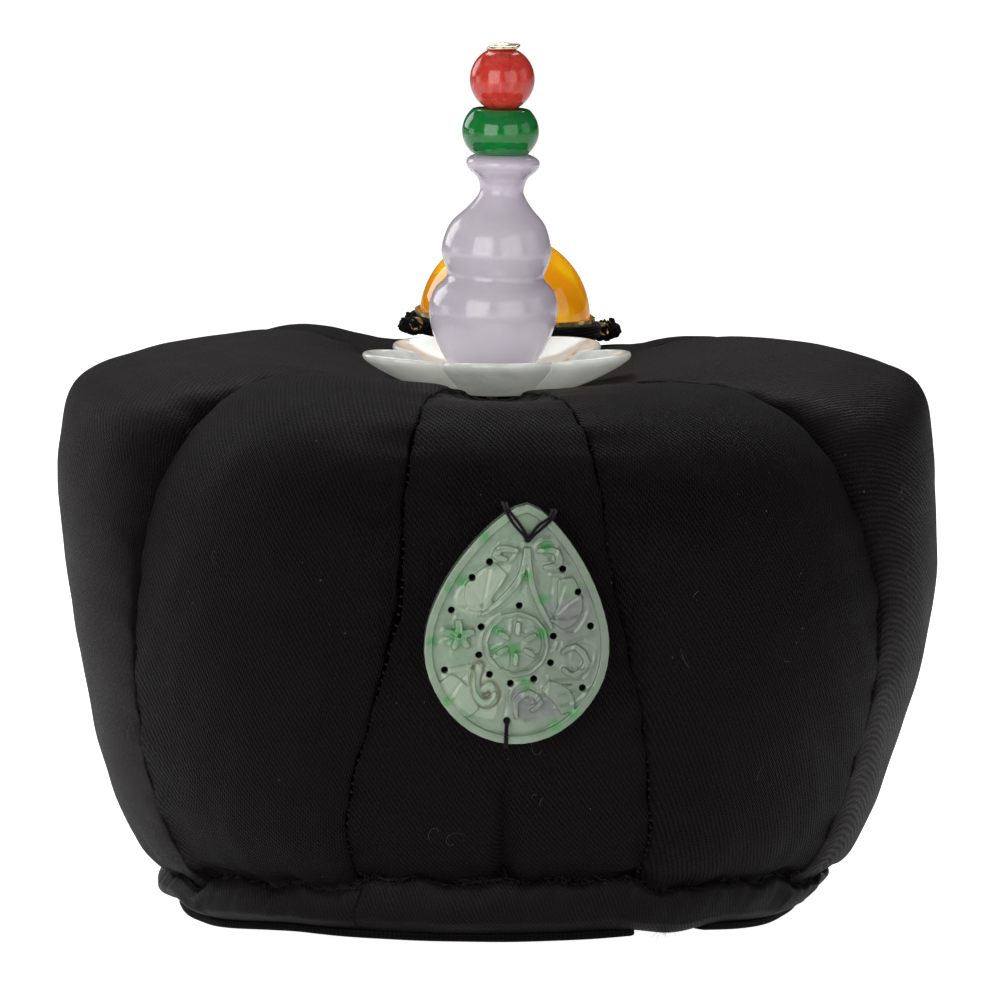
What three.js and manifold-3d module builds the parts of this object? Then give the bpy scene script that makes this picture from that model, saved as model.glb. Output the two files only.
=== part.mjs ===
// A padded bridal coronet, in millimetres, +Z up. The front faces -Y and the wearer's right is -X.
import * as THREE from 'three';
import { mergeVertices } from 'three/addons/utils/BufferGeometryUtils.js';
import Module from 'manifold-3d';

const wasm = await Module();
wasm.setup();
const { Manifold, Mesh: SolidMesh } = wasm;

const GAP = 0.3;
const DEGREE = Math.PI / 180;

// Materials
const paint = (color, roughness, metalness = 0) =>
  new THREE.MeshStandardMaterial({ color, roughness, metalness });
const silk = () => paint('#1d181c', 0.8);
const bandSilk = () => paint('#191519', 0.85);
const thread = () => paint('#0c0a0b', 0.7);
const paleJade = () => paint('#c9cfc4', 0.25);
const greenJade = () => paint('#9fb89c', 0.3);
const lavenderJade = () => paint('#b9afc0', 0.2);
const greenStone = () => paint('#4f9a63', 0.2);
const redStone = () => paint('#8e2b1f', 0.25);
const amber = () => paint('#d98a12', 0.15);
const gilt = () => paint('#a8853f', 0.35, 1);
const silver = () => paint('#b9b2a3', 0.35, 1);

const coronet = new THREE.Group();

function addMesh(parent, name, geometry, material) {
  const mesh = new THREE.Mesh(geometry, material);
  mesh.name = name;
  parent.add(mesh);
  return mesh;
}

// Numbers between 0 and 1
const clamp01 = (x) => Math.min(1, Math.max(0, x));
const smooth = (x) => x * x * (3 - 2 * x);
const ramp = (x, low, high) => smooth(clamp01((x - low) / (high - low)));
const mix = (a, b, f) => a + (b - a) * f;
const steps = (count) => Array.from({ length: count + 1 }, (_, i) => i / count);

// The crown's outer shape: one row per level, from the hole at the top centre, over the rounded ridge, to the hem.
// Each pair is a radius and a height along one line of the cloth.
const LINES = ['sideSeam', 'frontSeam', 'sideRidge', 'shoulderRidge', 'frontRidge'];
const LEVELS = [
  // side seam     front seam    side ridge    shoulder      front ridge
  [[3.0, 79.0], [3.0, 79.0], [3.0, 79.0], [3.0, 79.0], [3.0, 79.0]],
  [[12.0, 80.2], [12.0, 80.0], [13.0, 80.6], [12.5, 80.4], [12.0, 79.6]],
  [[22.0, 82.6], [23.0, 82.2], [25.0, 83.7], [24.0, 83.2], [23.5, 80.7]],
  [[31.5, 84.0], [34.0, 83.7], [36.5, 86.0], [36.0, 85.2], [35.0, 82.1]],
  [[40.5, 82.3], [45.0, 83.4], [48.0, 85.8], [46.5, 84.6], [46.0, 83.4]],
  [[48.5, 78.6], [53.0, 80.0], [57.6, 83.9], [55.0, 80.8], [54.0, 80.6]],
  [[55.5, 72.4], [58.6, 74.2], [65.1, 80.3], [61.0, 74.4], [59.6, 74.8]],
  [[60.5, 64.0], [61.8, 65.5], [67.5, 72.5], [64.4, 65.5], [62.8, 66.0]],
  [[63.6, 54.0], [63.3, 55.0], [67.7, 61.5], [65.8, 55.0], [64.2, 55.5]],
  [[64.4, 43.0], [63.5, 44.0], [66.6, 48.0], [65.8, 44.0], [64.2, 44.5]],
  [[62.8, 30.5], [62.0, 32.5], [63.6, 33.0], [63.6, 32.0], [62.6, 33.0]],
  [[59.2, 19.0], [58.8, 22.0], [59.9, 19.5], [60.0, 20.8], [59.2, 22.5]],
  [[54.8, 10.8], [54.4, 14.8], [55.5, 10.4], [55.2, 12.8], [54.4, 15.2]],
  [[50.6, 7.0], [50.0, 11.2], [50.8, 6.2], [50.6, 9.2], [50.0, 11.4]],
];

// Seam directions in degrees from the front, + towards +X, at the top, at mid height and at the hem.
const SEAMS = {
  frontLeft: { top: -13.6, middle: -13.2, hem: -23.6, line: 'frontSeam' },
  frontRight: { top: 10.5, middle: 15.2, hem: 24, line: 'frontSeam' },
  sideLeft: { top: -60, middle: -59.5, hem: -60, line: 'sideSeam' },
  sideRight: { top: 57, middle: 62.5, hem: 61, line: 'sideSeam' },
  rearSideLeft: { top: 238, middle: 240, hem: 240, line: 'sideSeam' },
  rearSideRight: { top: 122, middle: 120, hem: 119, line: 'sideSeam' },
  backLeft: { top: 195, middle: 195, hem: 204, line: 'frontSeam' },
  backRight: { top: 165, middle: 165, hem: 156, line: 'frontSeam' },
};

// The gores in order round the crown, from the front towards +X. Each lies between two seams.
const GORES = [
  { name: 'gore_front', from: 'frontLeft', to: 'frontRight', ridge: 'frontRidge' },
  { name: 'gore_front_left', from: 'frontRight', to: 'sideRight', ridge: 'shoulderRidge' },
  { name: 'gore_side_left', from: 'sideRight', to: 'rearSideRight', ridge: 'sideRidge' },
  { name: 'gore_back_left', from: 'rearSideRight', to: 'backRight', ridge: 'shoulderRidge' },
  { name: 'gore_back', from: 'backRight', to: 'backLeft', ridge: 'frontRidge' },
  { name: 'gore_back_right', from: 'backLeft', to: 'rearSideLeft', ridge: 'shoulderRidge' },
  { name: 'gore_side_right', from: 'rearSideLeft', to: 'sideLeft', ridge: 'sideRidge' },
  { name: 'gore_front_right', from: 'sideLeft', to: 'frontLeft', ridge: 'shoulderRidge' },
];

// How much the top is lifted or let down, by direction, because the soft crown isn't quite even.
const UNEVEN_TOP = [
  { degrees: -180, lift: -0.6 },
  { degrees: -150, lift: -0.4 },
  { degrees: -134, lift: 2.6 },
  { degrees: -122, lift: 3.4 },
  { degrees: -100, lift: 1.8 },
  { degrees: -80, lift: 0.4 },
  { degrees: -20, lift: 0 },
  { degrees: 0, lift: 0 },
  { degrees: 20, lift: -0.6 },
  { degrees: 57, lift: -1.4 },
  { degrees: 80, lift: 0.2 },
  { degrees: 100, lift: 1.4 },
  { degrees: 122, lift: 3.1 },
  { degrees: 135, lift: 1.5 },
  { degrees: 150, lift: -1.4 },
  { degrees: 180, lift: -0.6 },
];

const WALL = 3.6; // padded wall at the seams, thicker between them
const SWAY = 0.8; // the crown's middle bulges towards +X by this much
const LEVEL_STEPS = 17;
const OUTER_STEPS = 8;
// Places across a gore, closer together near the seams where the cloth turns in
const ACROSS = steps(OUTER_STEPS).map((f) => (1 - Math.cos(Math.PI * f)) / 2);

// A smooth curve through a column of the table, at a fraction of the way from the top to the hem
function lineAt(line, fraction) {
  const column = LINES.indexOf(line);
  const last = LEVELS.length - 1;
  const x = clamp01(fraction) * last;
  const i = Math.min(Math.floor(x), last - 1);
  const f = x - i;
  const at = (k, axis) => LEVELS[Math.min(last, Math.max(0, k))][column][axis];
  const value = (axis) => {
    const [a, b, c, d] = [at(i - 1, axis), at(i, axis), at(i + 1, axis), at(i + 2, axis)];
    return 0.5 * (2 * b + (c - a) * f + (2 * a - 5 * b + 4 * c - d) * f * f
      + (3 * b - a - 3 * c + d) * f * f * f);
  };
  return { r: value(0), z: value(1) };
}

function seamAngle(name, fraction) {
  const { top, middle, hem } = SEAMS[name];
  const upper = ramp(fraction, 0, 0.55);
  const lower = ramp(fraction, 0.55, 0.93);
  return (top + (middle - top) * upper + (hem - middle) * lower) * DEGREE;
}

function unevenTop(degrees) {
  const turned = ((degrees + 180) % 360 + 360) % 360 - 180;
  const next = UNEVEN_TOP.findIndex((row) => row.degrees >= turned);
  const high = UNEVEN_TOP[Math.max(1, next)];
  const low = UNEVEN_TOP[Math.max(1, next) - 1];
  return mix(low.lift, high.lift, (turned - low.degrees) / (high.degrees - low.degrees));
}

// A point at an angle from the front, with the crown's own unevenness
function crownPoint(angle, r, z) {
  const degrees = angle / DEGREE;
  const spread = 8;
  const soft = (unevenTop(degrees - spread) + unevenTop(degrees) + unevenTop(degrees + spread)) / 3;
  const lift = soft * ramp(r, 14, 34) * ramp(z, 45, 83);
  const sway = SWAY * ramp(z, 24, 40) * (1 - ramp(z, 52, 66));
  return new THREE.Vector3(r * Math.sin(angle) + sway, -r * Math.cos(angle), z + lift);
}

// How far the padding swells between the seams: 0 at a seam and 1 in the middle
const swell = (across) => (4 * across * (1 - across)) ** 0.75;

// The cloth of a gore without its swell, at a fraction down and a fraction across
function flatLine(gore, down, across) {
  const a = lineAt(SEAMS[gore.from].line, down);
  const b = lineAt(SEAMS[gore.to].line, down);
  return { r: mix(a.r, b.r, across), z: mix(a.z, b.z, across) };
}

function goreAngles(gore, down) {
  const start = seamAngle(gore.from, down);
  let end = seamAngle(gore.to, down);
  if (end < start) end += 2 * Math.PI;
  return { start, end };
}

// The angle of a point across a gore, with half a gap left at each seam
function angleAcross(gore, down, across, r) {
  const { start, end } = goreAngles(gore, down);
  const margin = GAP / 2 / Math.max(r, 1);
  return mix(start + margin, end - margin, across);
}

function outerPoint(gore, down, across) {
  const flat = flatLine(gore, down, across);
  const ridge = lineAt(gore.ridge, down);
  const puff = swell(across);
  const r = mix(flat.r, ridge.r, puff);
  const z = mix(flat.z, ridge.z, puff);
  return crownPoint(angleAcross(gore, down, across, r), r, z);
}

function innerPoint(gore, down, across) {
  const here = flatLine(gore, down, across);
  const before = flatLine(gore, Math.max(0, down - 0.02), across);
  const after = flatLine(gore, Math.min(1, down + 0.02), across);
  const alongR = after.r - before.r;
  const alongZ = after.z - before.z;
  const length = Math.hypot(alongR, alongZ);
  const level = ramp(down, 0.8, 0.96); // at the hem the wall is cut level
  const inR = mix(alongZ / length, -1, level);
  const inZ = mix(-alongR / length, 0, level);
  const r = here.r + WALL * inR;
  const ridge = lineAt(gore.ridge, down);
  const hemZ = mix(here.z, ridge.z, swell(across));
  const z = mix(here.z + WALL * inZ, hemZ, level);
  return crownPoint(angleAcross(gore, down, across, r), r, z);
}

// A closed solid through loops of points that all have the same count, with both ends capped or joined in a ring
function loftSolid(loops, { ring = false, cap = capFaces } = {}) {
  const count = loops[0].length;
  const positions = loops.flat().flatMap((p) => [p.x, p.y, p.z]);
  const point = (k) => new THREE.Vector3().fromArray(positions, 3 * k);
  const faces = [];
  const last = ring ? loops.length : loops.length - 1;
  for (let i = 0; i < last; i += 1) {
    const next = (i + 1) % loops.length;
    for (let j = 0; j < count; j += 1) {
      const a = i * count + j;
      const b = i * count + (j + 1) % count;
      const c = next * count + (j + 1) % count;
      const d = next * count + j;
      if (point(a).distanceTo(point(c)) <= point(b).distanceTo(point(d))) faces.push(a, b, c, a, c, d);
      else faces.push(a, b, d, b, c, d);
    }
  }
  if (!ring) {
    const start = cap(loops[0], 0).reverse();
    const end = cap(loops[loops.length - 1], (loops.length - 1) * count);
    faces.push(...start, ...end);
  }
  const geometry = new THREE.BufferGeometry();
  geometry.setAttribute('position', new THREE.Float32BufferAttribute(positions, 3));
  geometry.setIndex(faces);
  return outward(geometry);
}

// Triangles that close a loop, worked out in the plane that the loop lies nearest to
function capFaces(loop, first) {
  const middle = new THREE.Vector3();
  loop.forEach((p) => middle.add(p));
  middle.divideScalar(loop.length);
  const normal = new THREE.Vector3();
  loop.forEach((p, i) => {
    const q = loop[(i + 1) % loop.length];
    normal.add(p.clone().sub(middle).cross(q.clone().sub(middle)));
  });
  const turn = new THREE.Quaternion().setFromUnitVectors(normal.normalize(), new THREE.Vector3(0, 0, 1));
  const flat = loop.map((p) => p.clone().applyQuaternion(turn)).map((p) => new THREE.Vector2(p.x, p.y));
  return THREE.ShapeUtils.triangulateShape(flat, []).flatMap((f) => f.map((k) => k + first));
}

// Turns a closed mesh the right way out where its faces look inwards
function outward(geometry) {
  const index = geometry.getIndex();
  const position = geometry.getAttribute('position');
  const corner = (k) => new THREE.Vector3().fromBufferAttribute(position, index.getX(k));
  let volume = 0;
  for (let k = 0; k < index.count; k += 3) {
    volume += corner(k).dot(corner(k + 1).cross(corner(k + 2))) / 6;
  }
  if (volume < 0) {
    const turned = Array.from(index.array);
    for (let k = 0; k < turned.length; k += 3) [turned[k], turned[k + 1]] = [turned[k + 1], turned[k]];
    geometry.setIndex(turned);
  }
  geometry.computeVertexNormals();
  return geometry;
}

// Solids for cutting and joining
function solidOf(geometry) {
  const bare = geometry.clone();
  bare.deleteAttribute('normal');
  bare.deleteAttribute('uv');
  const merged = mergeVertices(bare, 1e-4);
  const vertProperties = new Float32Array(merged.getAttribute('position').array);
  const triVerts = new Uint32Array(merged.getIndex().array);
  return new Manifold(new SolidMesh({ numProp: 3, vertProperties, triVerts }));
}

function geometryOf(solid) {
  const mesh = solid.getMesh();
  const geometry = new THREE.BufferGeometry();
  geometry.setAttribute('position', new THREE.BufferAttribute(mesh.vertProperties, 3));
  geometry.setIndex(new THREE.BufferAttribute(mesh.triVerts, 1));
  geometry.computeVertexNormals();
  return geometry;
}

// A turned solid from a closed outline of radius and height, with its axis along Z
function turned(outline, sides = 16) {
  const points = [...outline, outline[0]].map(([r, z]) => new THREE.Vector2(r, z));
  const geometry = new THREE.LatheGeometry(points, sides);
  geometry.rotateX(Math.PI / 2);
  geometry.deleteAttribute('normal');
  geometry.deleteAttribute('uv');
  return outward(mergeVertices(geometry, 1e-4));
}

// Gores
function goreLoop(gore, down) {
  const outer = ACROSS.map((across) => outerPoint(gore, down, across));
  const inner = ACROSS.filter((_, i) => i % 2 === 0).reverse().map((across) => innerPoint(gore, down, across));
  return [...outer, ...inner];
}

// The end of a gore: a strip of triangles between its outer and its inner edge
function goreEnd(loop, first) {
  const outerLast = OUTER_STEPS;
  const innerLast = OUTER_STEPS / 2;
  const outer = (i) => first + i;
  const inner = (j) => first + loop.length - 1 - j;
  const faces = [];
  let i = 0;
  let j = 0;
  while (i < outerLast || j < innerLast) {
    if (j === innerLast || (i < outerLast && i < 2 * j + 1)) {
      faces.push(outer(i), outer(i + 1), inner(j));
      i += 1;
    } else {
      faces.push(outer(i), inner(j + 1), inner(j));
      j += 1;
    }
  }
  return faces;
}

GORES.forEach((gore) => {
  const loops = steps(LEVEL_STEPS).map((down) => goreLoop(gore, down));
  addMesh(coronet, gore.name, loftSolid(loops, { cap: goreEnd }), silk());
});

// Hem band: it hangs under the gores' lower ends and is drawn in towards the tape.
const TAPE = { inner: 44.5, outer: 47.9, height: 1.4, start: 43, sweep: 346, frontRise: 1.7 };
const BASE_SWAY = -1.5; // the base sits off the crown's axis, towards -X, by this much
const BAND = { wall: 3.5, bulge: 0.5, pleat: 0.35, pleats: 3, sideGap: 1.5, sideGapAt: -70, sideGapWidth: 14 };

const tapeRise = (degrees) => {
  const fromFront = Math.abs(((degrees + 180) % 360 + 360) % 360 - 180);
  return TAPE.frontRise * (1 - ramp(fromFront, 35, 65));
};
const tapeTop = (degrees) => tapeRise(degrees) + TAPE.height;

// A point at an angle from the front, about the crown's axis or a share of the way to the base's own
function around(angle, r, z, share = 0) {
  return new THREE.Vector3(r * Math.sin(angle) + share * BASE_SWAY, -r * Math.cos(angle), z);
}

function bandLoop(gore, across) {
  const hem = outerPoint(gore, 1, across);
  const angle = Math.atan2(hem.x, -hem.y);
  const degrees = angle / DEGREE;
  const hemRadius = Math.hypot(hem.x, hem.y);
  const pleat = BAND.pleat * Math.cos(2 * Math.PI * across * BAND.pleats);
  const away = ((degrees - BAND.sideGapAt + 180) % 360 + 360) % 360 - 180;
  const lifted = BAND.sideGap * Math.exp(-((away / BAND.sideGapWidth) ** 2));
  const top = hem.z - GAP;
  const bottom = tapeTop(degrees) + GAP + lifted;
  const height = top - bottom;
  return [
    around(angle, hemRadius - 0.5, top),
    around(angle, hemRadius + BAND.bulge + pleat, top - 0.22 * height, 0.3),
    around(angle, hemRadius - pleat / 2, top - 0.6 * height, 0.8),
    around(angle, hemRadius - 1.8, top - 0.9 * height, 1),
    around(angle, TAPE.outer - 0.6, bottom, 1),
    around(angle, TAPE.inner + 0.4, bottom, 1),
    around(angle, TAPE.inner, bottom + 0.3 * height, 1),
    around(angle, hemRadius - BAND.wall - 0.4, top - GAP),
  ];
}

const bandLoops = GORES.flatMap((gore) => ACROSS.slice(0, -1).map((across) => bandLoop(gore, across)));
addMesh(coronet, 'base_band', loftSolid(bandLoops, { ring: true }), bandSilk());

// Edging tape: an open ring that the coronet stands on, a little raised at the front
const TAPE_STEPS = 44;
const tapeLoops = steps(TAPE_STEPS).map((f) => {
  const degrees = TAPE.start + f * TAPE.sweep;
  const angle = degrees * DEGREE;
  const low = tapeRise(degrees);
  const high = tapeTop(degrees);
  return [
    around(angle, TAPE.inner, low, 1),
    around(angle, TAPE.outer, low, 1),
    around(angle, TAPE.outer, high, 1),
    around(angle, TAPE.inner, high, 1),
  ];
});
addMesh(coronet, 'base_tape', loftSolid(tapeLoops), bandSilk());

// Jade dish: five petals, one of them to the front, in the hollow of the crown's top
const DISH = {
  foot: 80.0, tip: 21.3, notch: 13.6, bore: 2.0, height: 6.5, floor: 1.6, rim: 1.2, footRadius: 8, petals: 5,
};
const DISH_COLUMNS = 40;
const dishRows = [0, 0.3, 0.5, 0.68, 0.84, 0.95, 1];

function dishLoop(angle) {
  const petal = Math.abs(Math.cos(angle * DISH.petals / 2)) ** 0.7;
  const edge = mix(DISH.notch, DISH.tip, petal);
  const rimHeight = DISH.height - 0.9 * (1 - petal);
  const under = (f) => {
    const r = mix(DISH.bore, edge, f);
    const climb = clamp01((r - DISH.footRadius) / (edge - DISH.footRadius));
    return around(angle, r, DISH.foot + (rimHeight - DISH.rim) * climb ** 1.35);
  };
  const over = (f) => {
    const r = mix(DISH.bore, edge - 0.4, f);
    const climb = clamp01((r - DISH.footRadius) / (edge - DISH.footRadius));
    return around(angle, r, DISH.foot + mix(DISH.floor, DISH.rim, f) + (rimHeight - DISH.rim) * climb ** 1.5);
  };
  return [...dishRows.map(under), ...[...dishRows].reverse().map(over)];
}

const dishLoops = steps(DISH_COLUMNS).slice(0, -1).map((f) => dishLoop(f * 2 * Math.PI));
addMesh(coronet, 'lotus_dish', loftSolid(dishLoops, { ring: true }), paleJade());

// Finial: beads on a hidden pin that leans a little towards +X
const finial = new THREE.Group();
const FINIAL_FOOT = new THREE.Vector3(-0.7, 0, DISH.foot + DISH.floor);
finial.position.copy(FINIAL_FOOT);
finial.rotation.y = 1.9 * DEGREE;
coronet.add(finial);

const PIN_RADIUS = 0.8;
const BORE = PIN_RADIUS + GAP;

// Outer radius and height above the dish's floor, from the foot to the lip
const GOURD_PROFILE = [
  { r: 3.6, z: 0.3 },
  { r: 5.6, z: 1.6 },
  { r: 7.4, z: 3.7 },
  { r: 9.2, z: 7.3 },
  { r: 9.9, z: 11.1 },
  { r: 9.2, z: 14.0 },
  { r: 7.5, z: 16.1 },
  { r: 8.1, z: 18.3 },
  { r: 8.4, z: 20.6 },
  { r: 7.3, z: 24.2 },
  { r: 5.0, z: 26.7 },
  { r: 3.4, z: 29.4 },
  { r: 4.3, z: 32.4 },
  { r: 5.5, z: 33.8 },
  { r: 4.2, z: 35.2 },
];
const GOURD_TOP = GOURD_PROFILE[GOURD_PROFILE.length - 1].z;
const bored = (profile) => [
  [BORE, profile[0].z],
  ...profile.map(({ r, z }) => [r, z]),
  [BORE, profile[profile.length - 1].z],
];
addMesh(finial, 'gourd_bead', turned(bored(GOURD_PROFILE)), lavenderJade());

// A round bead between two flat ends, by its largest and end radii, height and place
function beadProfile(widest, end, height, bottom, rows) {
  return steps(rows).map((f) => {
    const turnAngle = Math.PI * (f - 0.5);
    const low = Math.acos(clamp01(end / widest));
    const angle = 2 * turnAngle / Math.PI * low;
    return { r: widest * Math.cos(angle), z: bottom + height * (0.5 + 0.5 * Math.sin(angle) / Math.sin(low)) };
  });
}
const GREEN = { widest: 5.85, end: 4.1, height: 7.0, bottom: GOURD_TOP + GAP };
const RED = { widest: 4.95, end: 1.9, height: 9.0, bottom: GREEN.bottom + GREEN.height + GAP };
const greenProfile = beadProfile(GREEN.widest, GREEN.end, GREEN.height, GREEN.bottom, 6);
addMesh(finial, 'green_bead', turned(bored(greenProfile)), greenStone());
const redProfile = beadProfile(RED.widest, RED.end, RED.height, RED.bottom, 8);
addMesh(finial, 'red_bead', turned(bored(redProfile)), redStone());

const CAP = { radius: 2.6, thick: 0.8, crown: 0.35 };
const capBottom = RED.bottom + RED.height + GAP;
addMesh(finial, 'top_cap', turned([
  [0, capBottom],
  [CAP.radius - 0.2, capBottom],
  [CAP.radius, capBottom + CAP.thick / 2],
  [CAP.radius - 0.3, capBottom + CAP.thick],
  [0, capBottom + CAP.thick + CAP.crown],
]), silver());

const PIN_FOOT = { radius: 4.5, thick: 1.2, top: 75.2 - FINIAL_FOOT.z };
addMesh(finial, 'finial_pin', turned([
  [0, PIN_FOOT.top - PIN_FOOT.thick],
  [PIN_FOOT.radius, PIN_FOOT.top - PIN_FOOT.thick],
  [PIN_FOOT.radius, PIN_FOOT.top],
  [PIN_RADIUS, PIN_FOOT.top],
  [PIN_RADIUS, capBottom - GAP],
  [0, capBottom - GAP],
], 12), silver());

// The highest the crown reaches along a direction, among its points inside a region
function crownReach(direction, inside) {
  let reach = -Infinity;
  const fine = 24;
  GORES.forEach((gore) => steps(3 * fine).forEach((down) => steps(fine).forEach((across) => {
    const p = outerPoint(gore, down, across);
    if (inside(p)) reach = Math.max(reach, p.dot(direction));
  })));
  return reach;
}

// Amber cabochon in its gilt setting, lashed on behind the dish and leaning a little to the side
const AMBER = { x: 1.1, y: 33, radius: 13.4, lean: 3.2 };
const SETTING = { radius: 13.9, plate: 0.7, width: 3.8, strip: 1.2, stripWall: 0.5, lugReach: 16.2, lugHalf: 1.1 };
const LUG_TURNS = [18, 213]; // degrees from +X
const LASHING = { height: 1.2, wall: 2.5, chamfer: 0.4, knot: 2.1, knotReach: 16.8 };
const settingUp = new THREE.Vector3(Math.sin(AMBER.lean * DEGREE), 0, Math.cos(AMBER.lean * DEGREE));
const settingReach = crownReach(settingUp,
  (p) => Math.hypot(p.x - AMBER.x, p.y - AMBER.y) < LASHING.knotReach + LASHING.knot);
const rear = new THREE.Group();
rear.position.set(AMBER.x, AMBER.y, (settingReach + GAP - AMBER.x * settingUp.x) / settingUp.z);
rear.rotation.y = AMBER.lean * DEGREE;
coronet.add(rear);

const plateLow = LASHING.height + GAP;
const plateHigh = plateLow + SETTING.plate;
const domeFoot = plateHigh + GAP;
const domeRows = 6;
const domeProfile = steps(domeRows).map((f) => [
  AMBER.radius * Math.cos(f * Math.PI / 2),
  domeFoot + AMBER.radius * Math.sin(f * Math.PI / 2),
]);
addMesh(rear, 'amber_dome', turned([[0, domeFoot], ...domeProfile.slice(0, -1), [0, domeFoot + AMBER.radius]], 20),
  amber());

const stripInner = AMBER.radius + GAP;
const settingInner = SETTING.radius - SETTING.width;
const settingRing = solidOf(turned([
  [settingInner, plateLow],
  [stripInner + SETTING.stripWall, plateLow],
  [stripInner + SETTING.stripWall, plateHigh + SETTING.strip],
  [stripInner, plateHigh + SETTING.strip],
  [stripInner, plateHigh],
  [settingInner, plateHigh],
], 20));
// A bar that reaches outwards at an angle from +X
const bar = ({ turn, from, reach, half, low, high }) => {
  const box = new THREE.BoxGeometry(reach - from, 2 * half, high - low);
  box.translate((reach + from) / 2, 0, (low + high) / 2);
  box.rotateZ(turn * DEGREE);
  return solidOf(box);
};
const lug = (turn) => bar({
  turn,
  from: SETTING.radius - 1,
  reach: SETTING.lugReach,
  half: SETTING.lugHalf,
  low: plateLow,
  high: plateHigh,
});
const setting = LUG_TURNS.reduce((solid, turn) => solid.add(lug(turn)), settingRing);
addMesh(rear, 'amber_mount', geometryOf(setting), gilt());

// The thread wound under the setting, with a knot round each lug
const lashingOuter = SETTING.radius + 0.9;
const lashingInner = lashingOuter - LASHING.wall;
const windRing = solidOf(turned([
  [lashingInner, 0],
  [lashingOuter - LASHING.chamfer, 0],
  [lashingOuter, LASHING.height / 2],
  [lashingOuter - LASHING.chamfer, LASHING.height],
  [lashingInner, LASHING.height],
], 20));
const knot = (turn) => {
  const ball = new THREE.SphereGeometry(1, 10, 8);
  ball.scale(LASHING.knot * 1.15, LASHING.knot, LASHING.knot);
  ball.translate(LASHING.knotReach, 0, LASHING.knot - 0.1);
  ball.rotateZ(turn * DEGREE);
  const turns = bar({
    turn,
    from: lashingInner + 0.5,
    reach: LASHING.knotReach,
    half: LASHING.knot / 2,
    low: 0.1,
    high: LASHING.height - 0.1,
  });
  return solidOf(ball).add(turns);
};
const lugRoom = (turn) => bar({
  turn,
  from: 0,
  reach: SETTING.lugReach + GAP,
  half: SETTING.lugHalf + GAP,
  low: plateLow - GAP,
  high: plateHigh + GAP,
});
const stripRoom = solidOf(turned([
  [lashingInner - 1, plateLow - GAP],
  [stripInner + SETTING.stripWall + GAP, plateLow - GAP],
  [stripInner + SETTING.stripWall + GAP, plateHigh + SETTING.strip + GAP],
  [lashingInner - 1, plateHigh + SETTING.strip + GAP],
], 20));
const tied = LUG_TURNS.reduce((solid, turn) => solid.add(knot(turn)), windRing).subtract(stripRoom);
const lashing = LUG_TURNS.reduce((solid, turn) => solid.subtract(lugRoom(turn)), tied);
addMesh(rear, 'mount_lashing', geometryOf(lashing), thread());

// Jade plaque: a drop-shaped slab with a raised rim, carved stems and leaves, and holes cut through
const PLAQUE = { x: 3.0, z: 51.4, turn: 2.5, lean: -4.5, slab: 2.6, rimRise: 0.7, relief: 0.8, rimWidth: 1.2 };
// Half width at each height of the outline, from the tip to the foot
const PLAQUE_HALVES = [
  { v: 19.4, half: 0 },
  { v: 18.0, half: 2.9 },
  { v: 13.0, half: 7.7 },
  { v: 6.5, half: 11.6 },
  { v: 0, half: 13.6 },
  { v: -6.0, half: 13.2 },
  { v: -11.5, half: 10.2 },
  { v: -15.2, half: 5.6 },
  { v: -16.5, half: 0 },
];
const OUTLINE_STEPS = 48;
const rightHalf = PLAQUE_HALVES.slice(1, -1).map(({ v, half }) => [half, v]);
const leftHalf = [...rightHalf].reverse().map(([half, v]) => [-half, v]);
const tip = [0, PLAQUE_HALVES[0].v];
const foot = [0, PLAQUE_HALVES[PLAQUE_HALVES.length - 1].v];
const plaqueCurve = new THREE.CatmullRomCurve3(
  [tip, ...rightHalf, foot, ...leftHalf].map(([u, v]) => new THREE.Vector3(u, v, 0)), true, 'centripetal');
const outline = plaqueCurve.getSpacedPoints(OUTLINE_STEPS).slice(0, -1).map((p) => new THREE.Vector2(p.x, p.y));
const inset = (distance) => outline.map((p, i) => {
  const before = outline[(i + outline.length - 1) % outline.length];
  const after = outline[(i + 1) % outline.length];
  const along = after.clone().sub(before).normalize();
  return new THREE.Vector2(p.x + distance * along.y, p.y - distance * along.x);
});

function extruded(shape, depth, from) {
  const geometry = new THREE.ExtrudeGeometry(shape, { depth, bevelEnabled: false, curveSegments: 6 });
  geometry.translate(0, 0, from);
  return solidOf(geometry);
}

// A ribbon of a given width along a smooth line
function ribbon(points, width, samples = 8) {
  const curve = new THREE.SplineCurve(points.map(([u, v]) => new THREE.Vector2(u, v)));
  const centres = curve.getPoints(samples);
  const side = (sign) => centres.map((p, i) => {
    const tangent = curve.getTangent(i / samples);
    const taper = sign * width / 2 * (0.45 + 0.55 * Math.sin(Math.PI * (i + 0.6) / (samples + 1.2)));
    return new THREE.Vector2(p.x - tangent.y * taper, p.y + tangent.x * taper);
  });
  return new THREE.Shape([...side(1), ...side(-1).reverse()]);
}

function disc(u, v, radius) {
  const shape = new THREE.Shape();
  shape.absarc(u, v, radius, 0, 2 * Math.PI);
  return shape;
}

function ring(u, v, outer, inner) {
  const shape = disc(u, v, outer);
  const hole = new THREE.Path();
  hole.absarc(u, v, inner, 0, 2 * Math.PI);
  shape.holes.push(hole);
  return shape;
}

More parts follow.
